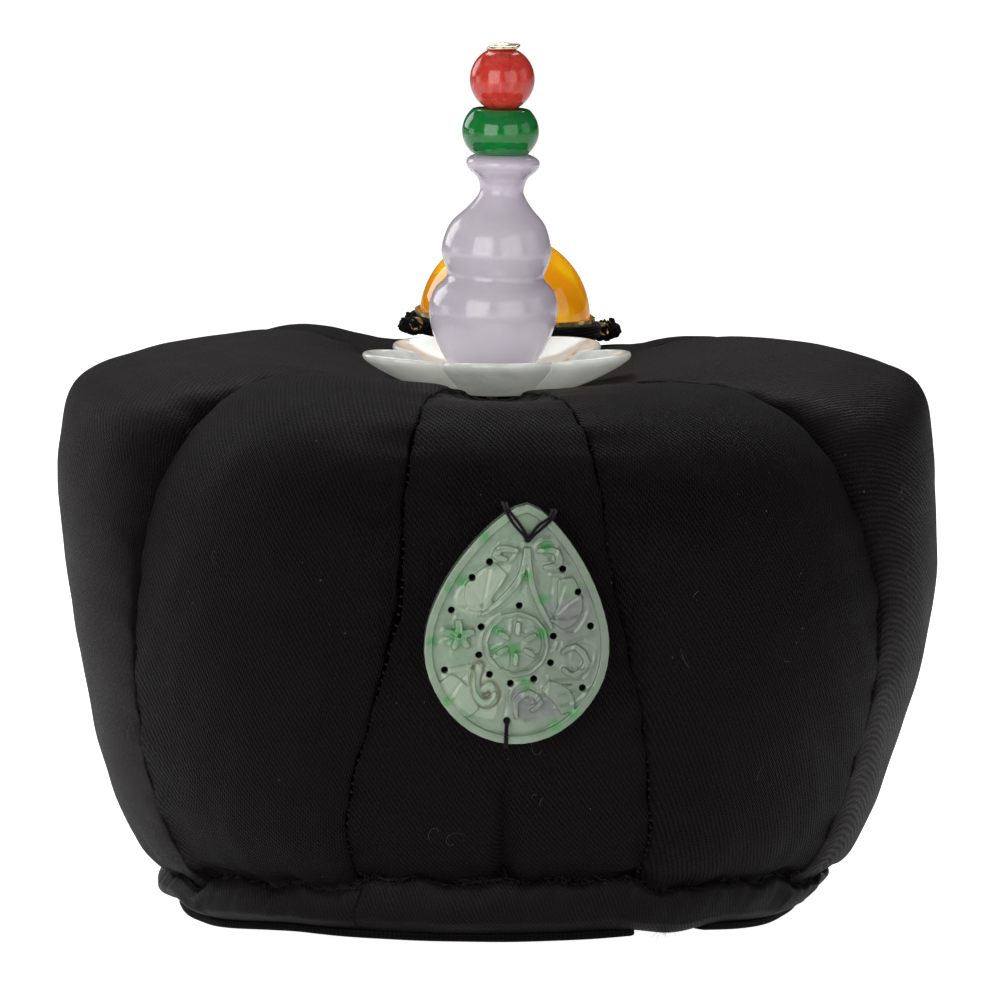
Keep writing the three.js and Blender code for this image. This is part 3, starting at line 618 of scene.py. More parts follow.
def spread(tree, value, low, high):
    """Stretches a value between two limits to the range from 0 to 1."""
    node = add_node(tree, "MapRange", Value=value, From_Min=low, From_Max=high)
    node.interpolation_type = "SMOOTHSTEP"
    return node.outputs["Result"]


def stretched(tree, vector, scale):
    return add_node(tree, "Mapping", Vector=vector, Scale=scale).outputs[0]


def make_twill_group():
    """Twilled weave: slanting ribs crossed by finer threads, with a height, a weave mask and slow streaks."""
    group, given, end = new_group("Silk Twill", {"Cloth Vector": None, "Rib Pitch": 0.66, "Wander": 0.4},
                                  ("Height", "Weave Mask", "Streaks"))
    vector = given["Cloth Vector"]
    across, along, _ = add_node(group, "SeparateXYZ", Vector=vector).outputs
    slow = times(group, noise(group, vector, 0.3, 2.0), given["Wander"])
    turns = maths(group, "DIVIDE", maths(group, "ADD", across, slow), given["Rib Pitch"])
    rows = maths(group, "DIVIDE", along, given["Rib Pitch"])
    rib = maths(group, "SINE", times(group, turns, TURN))
    crossing = scaled(group, rows, 1.26, times(group, turns, 1.06))
    thread = maths(group, "SINE", times(group, crossing, TURN))
    weave = times(group, maths(group, "ADD", rib, thread), 0.42)
    grain = scaled(group, noise(group, vector, 2.9, 2.0, 0.7), 1.9, -0.95)
    mask = maths(group, "ADD", scaled(group, grain, 1.3, 0.5), weave)
    streaks = noise(group, stretched(group, vector, (2.2, 0.12, 1.0)), 1.0, 3.0, 0.6)
    wire(group, end, Height=mask, Weave_Mask=spread(group, mask, 0.12, 0.88), Streaks=streaks)
    return group


def make_lint_group():
    """Small specks and short bits of fluff that lie on dark cloth."""
    group, given, end = new_group("Lint Specks", {"Vector": None, "Amount": 0.8}, ("Mask",))
    cells = add_node(group, "TexVoronoi", Scale=0.45, Vector=given["Vector"])
    chosen = spread(group, noise(group, given["Vector"], 0.9, 2.0, 0.5), 0.52, 0.66)
    dot = spread(group, cells.outputs["Distance"], 0.075, 0.03)
    wire(group, end, Mask=times(group, dot, chosen, given["Amount"]))
    return group


def make_cloud_group():
    """Soft clouds and veins inside a polished stone, as two masks."""
    group, given, end = new_group("Stone Clouds", {"Vector": None, "Scale": 120.0, "Low": 0.4, "High": 0.62},
                                  ("Clouds", "Veins"))
    clouds = noise(group, given["Vector"], given["Scale"], 4.0, 0.6, 0.8)
    folded = noise(group, given["Vector"], times(group, given["Scale"], 0.8), 5.0, 0.62, 1.6)
    distance = maths(group, "ABSOLUTE", maths(group, "SUBTRACT", folded, 0.5))
    wire(group, end, Clouds=spread(group, clouds, given["Low"], given["High"]),
         Veins=spread(group, distance, 0.05, 0.0))
    return group


@functools.cache
def shared(make):
    """A shader group, built once."""
    return make()


def place_group(tree, make, **values):
    node = tree.nodes.new("ShaderNodeGroup")
    node.node_tree = shared(make)
    return wire(tree, node, **values).outputs


def new_material(name, **sockets):
    """A material with a Principled shader whose plain values are set on its own sockets."""
    material = bpy.data.materials.new(name)
    material.use_nodes = True
    tree = material.node_tree
    return material, tree, wire(tree, tree.nodes["Principled BSDF"], **sockets)


def coordinates(tree, kind="Object"):
    return add_node(tree, "TexCoord").outputs[kind]


def bump(tree, shader, height, distance, strength=1.0):
    """A height in mm that feeds a shader's normal."""
    node = add_node(tree, "Bump", Strength=strength, Distance=distance * MM, Height=height)
    wire(tree, shader, Normal=node.outputs[0])


def rgba(colour, factor=1.0):
    return (*[min(1.0, channel * factor) for channel in colour], 1.0)


def silk_material(name, pitch, dark, light, roughness, lint, gloss=0.07, height=0.11):
    """Twilled silk with ribs, streaks, soft unevenness of colour and lint."""
    material, tree, shader = new_material(
        name, Specular_IOR_Level=gloss, Specular_Tint=(1.0, 0.88, 0.93, 1), Sheen_Weight=0.01,
        Sheen_Roughness=0.3, Sheen_Tint=(1.0, 0.88, 0.92, 1))
    vector = coordinates(tree, "UV")
    twill = place_group(tree, make_twill_group, Cloth_Vector=vector, Rib_Pitch=pitch)
    dust = place_group(tree, make_lint_group, Vector=vector, Amount=lint)
    # Lighter on the ribs and darker between them, following the weave's height: painted sheen on the ribs and
    # painted shade in the hollows, mixed with the grain's uneven tone
    base = blend_colours(tree, twill["Weave Mask"], rgba(dark), rgba(light))
    patchy = spread(tree, noise(tree, vector, 0.09, 3.0, 0.6), 0.35, 0.68)
    warm = blend_colours(tree, times(tree, patchy, 0.35), base, rgba(light, 0.8))
    rough = scaled(tree, twill["Streaks"], 0.16, roughness + 0.02)
    wire(tree, shader, Base_Color=blend_colours(tree, dust["Mask"], warm, (0.16, 0.145, 0.15, 1)),
         Roughness=scaled(tree, twill["Weave Mask"], -0.2, rough))
    bump(tree, shader, twill["Height"], height)
    return material


def thread_material(name="Black Thread", colour=(0.003, 0.0025, 0.003)):
    material, tree, shader = new_material(name, Specular_IOR_Level=0.12, Sheen_Weight=0.03)
    fibres = noise(tree, coordinates(tree), 2600.0, 3.0, 0.7)
    wire(tree, shader, Base_Color=blend_colours(tree, fibres, rgba(colour), rgba(colour, 3.2)),
         Roughness=scaled(tree, fibres, 0.3, 0.45))
    bump(tree, shader, fibres, 0.08)
    return material


def jade_material(name, base, second, scale, subsurface, vein_colour=None, vein_share=0.0, roughness=0.14,
                  grain=(1.0, 1.0, 1.0), coat=0.3, glow=0.0):
    """Polished jade with soft clouds and, where given, coloured veins, and where a glow is given, a painted
    glow: the stone gives off light in its own colour.
    """
    material, tree, shader = new_material(
        name, Subsurface_Weight=subsurface, Subsurface_Radius=(1.0, 1.0, 0.8), Subsurface_Scale=0.003,
        Coat_Weight=coat, Coat_Roughness=0.06, IOR=1.6, Emission_Strength=glow)
    vector = coordinates(tree)
    clouds = place_group(tree, make_cloud_group, Vector=stretched(tree, vector, grain), Scale=scale)
    colour = blend_colours(tree, clouds["Clouds"], base, second)
    if vein_colour is not None:
        colour = blend_colours(tree, times(tree, clouds["Veins"], vein_share), colour, vein_colour)
    # A glow makes the stone give off light though it is no lamp: painted light
    if glow > 0:
        wire(tree, shader, Emission_Color=colour)
    handling = noise(tree, vector, 900.0, 4.0, 0.6)
    wire(tree, shader, Base_Color=colour, Roughness=scaled(tree, handling, 0.14, roughness - 0.06))
    bump(tree, shader, noise(tree, vector, 420.0, 3.0), 0.03, 0.5)
    return material, tree, shader, colour


def metal_material(name, bright, worn, scale=700.0):
    """Old gilt or plated metal with darker worn places."""
    material, tree, shader = new_material(name, Metallic=1.0)
    vector = coordinates(tree)
    wear = spread(tree, noise(tree, vector, scale, 5.0, 0.65), 0.38, 0.62)
    wire(tree, shader, Base_Color=blend_colours(tree, wear, rgba(bright), rgba(worn)),
         Roughness=scaled(tree, wear, 0.3, 0.22))
    bump(tree, shader, noise(tree, vector, 1500.0, 3.0), 0.05)
    return material


# Pieces

class CORONET_OT_stage(bpy.types.Operator):
    """Pale floor, soft lights and the camera at the photograph's angle"""
    bl_idname = "coronet.stage"
    bl_label = "Stage and camera"

    # Softboxes: name, place in metres, width, height and watts
    SOFTBOXES = (
        ("front_right_softbox", (0.45, -0.7, 0.3), 0.7, 0.6, 1.7),
        ("low_left_softbox", (-0.75, 0.1, 0.12), 0.3, 0.2, 0.25),
        ("rear_left_softbox", (-0.6, 0.5, 0.35), 0.4, 0.4, 1.2),
        ("right_softbox", (0.75, -0.05, 0.28), 0.4, 0.4, 0.35),
        ("overhead_softbox", (-0.1, 0.0, 0.8), 0.6, 0.6, 0.25),
    )
    LIGHT_AIM = Vector((0, 0, 0.07))

    def execute(self, context):
        values = context.scene.coronet_stage
        self.add_floor()
        self.add_camera(context.scene, values)
        self.softbox("front_left_softbox", (-0.35, -0.61, 0.26), 0.54, 0.56, values.key_power)
        self.softbox("top_softbox", (0.0, 0.45, 0.7), 0.7, 0.4, values.top_power)
        for lamp in self.SOFTBOXES:
            self.softbox(*lamp)
        self.add_world(context.scene)
        return {"FINISHED"}

    def seen_white(self, tree, unseen):
        """White where the camera sees it, and a grey that gives less light elsewhere."""
        seen = add_node(tree, "LightPath").outputs["Is Camera Ray"]
        return blend_colours(tree, seen, rgba([unseen] * 3), (1, 1, 1, 1))

    def add_floor(self):
        bpy.ops.object.select_all(action="DESELECT")
        bpy.ops.mesh.primitive_plane_add(size=12.0)
        floor = bpy.context.object
        floor.name = "pale_floor"
        material, tree, shader = new_material("Pale Floor", Roughness=0.7, Emission_Strength=1.0)
        grain = noise(tree, coordinates(tree), 3.0, 2.0)
        wire(tree, shader, Emission_Color=self.seen_white(tree, 0.28),
             Base_Color=blend_colours(tree, grain, rgba([0.80] * 3), rgba([0.84] * 3)))
        paint(floor, material)

    def add_camera(self, scene, values):
        data = bpy.data.cameras.new("front_camera")
        data.lens = values.lens
        data.sensor_width = 36.0
        data.clip_end = 50.0
        scene.camera = self.aimed(data, AXIS + Vector((0, -values.distance, values.eye_height)),
                                  AXIS + Vector((0.0005, 0, values.aim_height)))

    def softbox(self, name, place, width, height, power):
        data = bpy.data.lights.new(name, "AREA")
        data.shape = "RECTANGLE"
        data.size = width
        data.size_y = height
        data.energy = power
        self.aimed(data, Vector(place), self.LIGHT_AIM)

    def aimed(self, data, place, aim):
        """A camera or lamp at a place, turned to look at another."""
        item = bpy.data.objects.new(data.name, data)
        bpy.context.scene.collection.objects.link(item)
        item.location = place
        item.rotation_euler = (aim - place).to_track_quat("-Z", "Y").to_euler()
        return item

    def add_world(self, scene):
        world = bpy.data.worlds.new("Studio")
        world.use_nodes = True
        tree = world.node_tree
        wire(tree, tree.nodes["Background"], Color=self.seen_white(tree, 0.01))
        scene.world = world
        scene.view_settings.view_transform = "Standard"


class CORONET_OT_gores(bpy.types.Operator):
    """The eight padded silk gores, with puckered seams, gathers at the hem and the front crease"""
    bl_idname = "coronet.gores"
    bl_label = "Padded gores"

    # The side gores are cut with their grain the other way: their silk colour is made lighter, a painted
    # sheen for the light that this grain catches, and their gloss is raised with it
    SIDE_PAINTED_SHEEN_AND_GLOSS = 1.6
    SILK_GLOSS = 0.07

    def execute(self, context):
        look = context.scene.cloth_look
        # The side silk's colours are the plain silk's times the side factor: painted sheen on those gores
        silks = [silk_material(name, look.rib_pitch, rgba(look.dark, painted_sheen_and_gloss)[:3], rgba(look.light, painted_sheen_and_gloss)[:3],
                               0.5, look.lint, self.SILK_GLOSS * painted_sheen_and_gloss)
                 for name, painted_sheen_and_gloss in (("Padded Silk", 1.0), ("Side Silk Painted Sheen", self.SIDE_PAINTED_SHEEN_AND_GLOSS))]
        for number, gore in enumerate(GORES):
            self.add_gore(gore, number, silks["side" in gore["node"]])
        return {"FINISHED"}

    def add_gore(self, gore, number, material):
        rows, columns = settings().crown_sizes.rows, settings().crown_sizes.columns
        even = np.linspace(0, 1, columns)
        close_at_seams = mix((1 - np.cos(np.pi * even)) / 2, even, 0.25)
        down, across = np.meshgrid(np.linspace(0, 1, rows), close_at_seams, indexing="ij")
        plain = outer_cloth(gore, down, across)
        outer = plain + surface_normals(plain) * cloth_detail(gore, plain, number)[..., None]
        outer[..., 2] = mix(outer[..., 2], plain[..., 2], ramp(down, 0.965, 0.99))
        outer[..., 2] += waves(direction(plain)[0], HEM_SCALLOPS) * ramp(down, 0.94, 1.0)
        inner = inner_cloth(gore, down, across)
        count = rows * columns
        numbers = np.arange(count).reshape(rows, columns)
        faces = grid_faces(rows, columns) + grid_faces(rows, columns, count)
        for edge in (numbers[:, 0], numbers[:, -1], numbers[0], numbers[-1]):
            faces += [(a, b, b + count, a + count) for a, b in zip(edge.tolist(), edge[1:].tolist())]
        width = arc_length(plain, 1)
        flat = np.stack([width - width[:, -1:] / 2, arc_length(plain, 0)], -1)
        uv = turned(flat, gore["lean"]).reshape(-1, 2) + 40 * number
        places = np.concatenate([outer.reshape(-1, 3), inner.reshape(-1, 3)])
        piece = mesh_piece("padded_" + gore["node"], places, faces, material,
                           np.concatenate([uv, uv]), 50)
        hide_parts(gore["node"])


class CORONET_OT_hem(bpy.types.Operator):
    """The gathered hem band and the open edging tape under it"""
    bl_idname = "coronet.hem"
    bl_label = "Hem band and tape"

    # The band's outside: radius from the hem's, share of the height, share of the way to the tape's radius
    BAND_SECTION = ((-1.2, 1.02, 0.0), (-0.3, 1.0, 0.0), (0.35, 0.93, 0.0), (0.75, 0.8, 0.0),
                    (0.8, 0.62, 0.05), (0.5, 0.42, 0.15), (-0.1, 0.24, 0.3), (-0.7, 0.1, 0.5),
                    (-0.9, 0.02, 0.8), (-0.6, 0.0, 1.0))
    # Its inside: from the tape's inner radius with a share of the height, then from the hem with a rise
    BAND_INSIDE = ((0.3, 0.0), (0.1, 0.35), (1.2, 0.75))
    BAND_LIP = ((4.8, 1.2), (4.3, 1.5), (3.9, -0.2))
    # Where its lower edge is lifted or sags: mm, and the direction and width in degrees
    BAND_UNEVEN = ((1.5, -73, 7), (-1.35, 36.5, 7.5))
    WEAVE_LEAN = 35
    COLUMNS_PER_GORE = 84
    TAPE_STEPS = 420
    TAPE_SIDES = 12
    TAPE_SQUARENESS = 0.55
    TAPE_END = 1.4

    def execute(self, context):
        pitch = context.scene.cloth_look.rib_pitch
        self.add_band(silk_material("Band Silk", pitch * 0.8, (0.0012, 0.0010, 0.0012),
                                    (0.0105, 0.0092, 0.0100), 0.42, 0.3, 0.1, 0.03))
        self.add_tape(silk_material("Tape Silk", pitch * 1.1, (0.0010, 0.0008, 0.0009),
                                    (0.0080, 0.0070, 0.0076), 0.55, 0.2, 0.08, 0.05))
        return {"FINISHED"}

    def add_band(self, material):
        across = np.linspace(0, 1, self.COLUMNS_PER_GORE, endpoint=False)
        hem = np.concatenate([outer_cloth(gore, np.ones(self.COLUMNS_PER_GORE), across) for gore in GORES])
        angle, hem_radius = direction(hem)
        angle = np.unwrap(angle)
        degrees = half_turn(np.degrees(angle))
        low = tape_rise(degrees) + TAPE["height"] - 0.03
        for lift, at, width in self.BAND_UNEVEN:
            low = low + lift * hump(half_turn(degrees - at), width)
        high = hem[:, 2] - 0.08 + waves(angle, HEM_SCALLOPS)
        tall = high - low
        section = smooth_line(self.BAND_SECTION, 34)
        places = []
        for outward, share, inwards in section:
            radius = mix(hem_radius + outward, TAPE["outer"] - 0.6, clamp01((inwards - 0.3) / 0.7))
            places.append(around(angle, radius, low + tall * share, BASE_SWAY * ramp(1 - share, 0.1, 0.75)))
        places += [around(angle, TAPE["inner"] + radius, low + (tall - 0.3) * share, BASE_SWAY)
                   for radius, share in self.BAND_INSIDE]
        places += [around(angle, hem_radius - inwards, high + rise) for inwards, rise in self.BAND_LIP]
        grid = np.stack(places, 1)
        share = np.linspace(0, 1, len(section))
        out = (0.34 * waves(angle, BAND_PLEATS)[:, None] * hump(share, 0.42)
               + 0.42 * waves(angle, BAND_SWELLS)[:, None] * np.sin(np.pi * share) ** 1.2)
        outward = np.stack([np.sin(angle), -np.cos(angle)], -1)[:, None, :]
        grid[:, :len(section), :2] += outward * out[..., None]
        along = arc_length(grid[:, 5], 0)[:, None]
        uv = turned(np.stack(np.broadcast_arrays(along, arc_length(grid, 1)), -1), self.WEAVE_LEAN)
        faces = grid_faces(*grid.shape[:2], round_rows=True, round_columns=True)
        piece = mesh_piece("gathered_band", grid.reshape(-1, 3), faces, material,
                           uv.reshape(-1, 2), 60)
        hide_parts("base_band")

    def add_tape(self, material):
        f = np.linspace(0, 1, self.TAPE_STEPS)
        degrees = TAPE["start"] + f * TAPE["sweep"]
        angle = np.radians(degrees)
        middle_radius = (TAPE["inner"] + TAPE["outer"]) / 2 + waves(angle, TAPE_WAVES)
        half_width = (TAPE["outer"] - TAPE["inner"]) / 2 - 0.1
        half_height = TAPE["height"] / 2
        ends = np.sqrt(clamp01(np.minimum(f, 1 - f) * TAPE["sweep"] / self.TAPE_END))
        places = []
        for k in range(self.TAPE_SIDES):
            turn = TURN * (k + 0.5) / self.TAPE_SIDES
            wide, high = (math.copysign(abs(x) ** self.TAPE_SQUARENESS, x) for x in polar(1, turn))
            height = tape_rise(degrees) + half_height + half_height * high * mix(0.5, 1.0, ends)
            places.append(around(angle, middle_radius + half_width * wide * ends, height, BASE_SWAY))
        grid = np.stack(places, 1)
        faces = grid_faces(self.TAPE_STEPS, self.TAPE_SIDES, round_columns=True)
        count = self.TAPE_STEPS * self.TAPE_SIDES
        faces += [tuple(range(self.TAPE_SIDES)), tuple(reversed(range(count - self.TAPE_SIDES, count)))]
        round_length = np.linspace(0, 4 * (half_width + half_height), self.TAPE_SIDES)
        uv = np.stack(np.broadcast_arrays((angle * TAPE["outer"])[:, None], round_length), -1)
        piece = mesh_piece("edging_tape", grid.reshape(-1, 3), faces, material,
                           uv.reshape(-1, 2), 70)
        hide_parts("base_tape")


def tape_rise(degrees):
    """How far the tape is raised off the floor, in mm: only at the front."""
    return TAPE["front_rise"] * (1 - ramp(np.abs(half_turn(degrees)), 35, 65))


def polar(radius, angle):
    return radius * math.cos(angle), radius * math.sin(angle)


# The finial leans a little, as its pin does in the CAD
FINIAL_FOOT = (-0.7, 0.0, 81.6)
FINIAL_LEAN = (0, math.radians(1.9), 0)
BORE = 1.1


def finial_piece(name, profile, node, material, steps=96):
    piece = turned_piece(name, profile, steps, FINIAL_LEAN, FINIAL_FOOT)
    paint(piece, material)
    ride(piece)
    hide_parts(node)
    return piece


class CORONET_OT_dish(bpy.types.Operator):
    """The five-petalled jade dish"""
    bl_idname = "coronet.dish"
    bl_label = "Petalled dish"

    # Radius and height in mm from the foot: the underside, the rim and the inside
    UNDER = ((2.0, 0.0), (5.0, 0.0), (8.0, 0.02), (11.0, 0.5), (14.0, 1.5), (17.0, 2.9), (19.5, 4.3),
             (20.9, 5.3), (21.3, 5.95))
    RIM = ((21.15, 6.35), (20.7, 6.5), (20.2, 6.3))
    OVER = ((18.6, 5.3), (16.0, 3.9), (13.0, 2.7), (10.0, 1.95), (7.0, 1.65), (2.0, 1.6))
    FOOT = 80.0
    TIP = 21.3
    NOTCH = 13.6
    STAIN = (0.42, 0.24, 0.10, 1)

    def execute(self, context):
        look = context.scene.stone_look
        # The dish's glow of 0.21 is painted light: it gives off light so that it looks as brightly lit as the
        # pale jade
        material, tree, shader, colour = jade_material(
            "Pale Jade", rgba(look.pale_jade), rgba(look.pale_jade, 1.15), 90.0, 0.35,
            roughness=0.12, glow=0.21)
        self.stain_petals(tree, shader, colour)
        rim = smooth_line([self.UNDER[-1], *self.RIM, self.OVER[0]], 14)[1:-1]
        profile = [*smooth_line(self.UNDER, 30), *rim, *smooth_line(self.OVER, 26), self.UNDER[0]]
        piece = turned_piece("petalled_dish", profile, 240, None, (0, 0, self.FOOT))
        self.shape_petals(piece)
        paint(piece, material)
        ride(piece)
        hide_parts("lotus_dish")
        return {"FINISHED"}

    def shape_petals(self, piece):
        """Draws the round dish in between its petals, and grooves it there."""
        for vertex in piece.data.vertices:
            place = (vertex.co - AXIS) / MM
            radius = math.hypot(place.x, place.y)
            petal = abs(math.cos(math.atan2(place.x, -place.y) * 2.5)) ** 0.62
            pull = mix(1.0, mix(self.NOTCH, self.TIP, petal) / self.TIP, ramp(radius, 3.0, 17.0))
            fold = (1 - petal) * ramp(radius, 7.0, self.TIP)
            groove = 0.95 * fold if place.z > self.FOOT + 1 else 0.45 * fold
            vertex.co = AXIS + Vector((place.x * pull, place.y * pull, place.z - groove)) * MM
        piece.data.update()

    def stain_petals(self, tree, shader, colour):
        """Brown stains that run out along the inside of the rear petals."""
        moved = add_node(tree, "Mapping", Vector=coordinates(tree), Location=(-AXIS.x, -AXIS.y, 0)).outputs[0]
        x, y, z = add_node(tree, "SeparateXYZ", Vector=moved).outputs
        angle = maths(tree, "ARCTAN2", x, times(tree, y, -1.0))
        petals = maths(tree, "COSINE", scaled(tree, angle, 5.0, 0.9))
        radius = maths(tree, "SQRT", maths(tree, "ADD", times(tree, x, x), times(tree, y, y)))
        patches = noise(tree, moved, 260.0, 3.0)
        limits = ((petals, 0.955, 0.998), (radius, 0.009, 0.0135), (z, 0.0822, 0.0834), (patches, 0.38, 0.55),
                  (y, 0.0005, 0.004))
        masks = [spread(tree, *row) for row in limits]
        wire(tree, shader, Base_Color=blend_colours(tree, times(tree, *masks, 0.85), colour, self.STAIN))


class CORONET_OT_beads(bpy.types.Operator):
    """The gourd, the green and the red bead, the cap on top and the hidden pin"""
    bl_idname = "coronet.beads"
    bl_label = "Finial beads"

    GOURD = ((1.1, 0.3), (3.4, 0.3), (4.6, 0.7), (5.7, 1.6), (7.4, 3.7), (9.2, 7.3), (9.95, 11.1),
             (9.2, 14.0), (7.5, 16.1), (8.1, 18.3), (8.45, 20.6), (7.3, 24.2), (5.0, 26.7), (3.5, 28.8),
             (3.45, 30.2), (4.0, 31.5), (5.2, 32.6), (5.65, 33.6), (5.3, 34.4), (4.1, 35.0), (2.6, 35.2),
             (1.1, 35.15))
    # Radius and height in mm from the red bead's top
    CAP = ((0, 0), (1.6, 0), (2.35, 0.1), (2.6, 0.38), (2.45, 0.68), (1.5, 0.86), (0.7, 1.1), (0, 1.15))
    GREEN_LOW, GREEN_HEIGHT, RED_HEIGHT = 35.14, 6.92, 9.15

    def execute(self, context):
        look = context.scene.stone_look
        # The gourd's glow of 0.04 is painted light, a faint light of its own
        lavender = jade_material("Lavender Jade", rgba(look.lavender), (0.69, 0.66, 0.70, 1), 55.0, 0.5,
                                 roughness=0.15, glow=0.04)[0]
        green = jade_material("Green Stone", rgba(look.green), (0.02, 0.20, 0.055, 1), 230.0, 0.3,
                              (0.08, 0.36, 0.13, 1), 0.12, 0.1, coat=0.12)[0]
        red = jade_material("Red Stone", rgba(look.red), (0.60, 0.032, 0.026, 1), 420.0, 0.25,
                            (0.85, 0.20, 0.13, 1), 0.22, 0.14, (1.0, 1.0, 0.16), 0.1)[0]
        gourd = smooth_line(self.GOURD, 96)
        piece = finial_piece("double_gourd", [*gourd, gourd[0]], "gourd_bead", lavender, 112)
        self.sway_neck(piece)
        red_low = self.GREEN_LOW + self.GREEN_HEIGHT - 0.05
        self.add_bead("round_green", 5.9, 4.4, self.GREEN_HEIGHT, self.GREEN_LOW, "green_bead", green,
                      "green_stone")
        self.add_bead("round_red", 4.98, 2.3, self.RED_HEIGHT, red_low, "red_bead", red, "red_stone")
        self.add_cap(red_low + self.RED_HEIGHT - 0.02)
        paint(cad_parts["finial_pin"], metal_material("Pin Metal", (0.6, 0.5, 0.32), (0.3, 0.24, 0.14)))
        return {"FINISHED"}

    def sway_neck(self, piece):
        """The gourd was carved a little out of true: its neck stands to one side of its belly."""
        for vertex in piece.data.vertices:
            place = (vertex.co - AXIS) / MM - Vector(FINIAL_FOOT)
            shift = 0.55 * ramp(place.z, 22, 31) - 0.3 * (1 - ramp(place.z, 6, 18))
            from_bore = abs(place.x - place.z * math.tan(FINIAL_LEAN[1])) + abs(place.y)
            vertex.co.x += shift * ramp(from_bore, 1.3, 3) * MM
        piece.data.update()

    def add_bead(self, name, widest, end, height, low, node, material, slot):
        """A round bead with a flat end round each mouth of its bore."""
        reach = math.acos(end / widest)
        profile = [(BORE, low), (end - 0.35, low)]
        for f in np.linspace(-1, 1, 40):
            share = 0.5 + 0.5 * math.sin(f * reach) / math.sin(reach)
            profile.append((widest * math.cos(f * reach), low + 0.12 + (height - 0.24) * share))
        profile += [(end - 0.35, low + height), (BORE, low + height), (BORE, low)]
        finial_piece(name, profile, node, material)

    def add_cap(self, low):
        """A thin plate, a little buckled."""
        metal = metal_material("Cap Metal", (0.86, 0.74, 0.50), (0.66, 0.60, 0.52), 260.0)
        profile = smooth_line([(radius, low + height) for radius, height in self.CAP], 30)
        piece = finial_piece("metal_cap", profile, "top_cap", metal, 72)
        for vertex in piece.data.vertices:
            place = (vertex.co - AXIS) / MM
            beside = place.x - 1.1
            buckle = waves(math.atan2(place.x, place.y), ((0.1, 2, 0.5), (0.03, 5, 0.0))) + 0.12 * beside
            vertex.co.z += buckle * clamp01((math.hypot(beside, place.y) - 1.0) / 1.6) * MM
        piece.data.update()


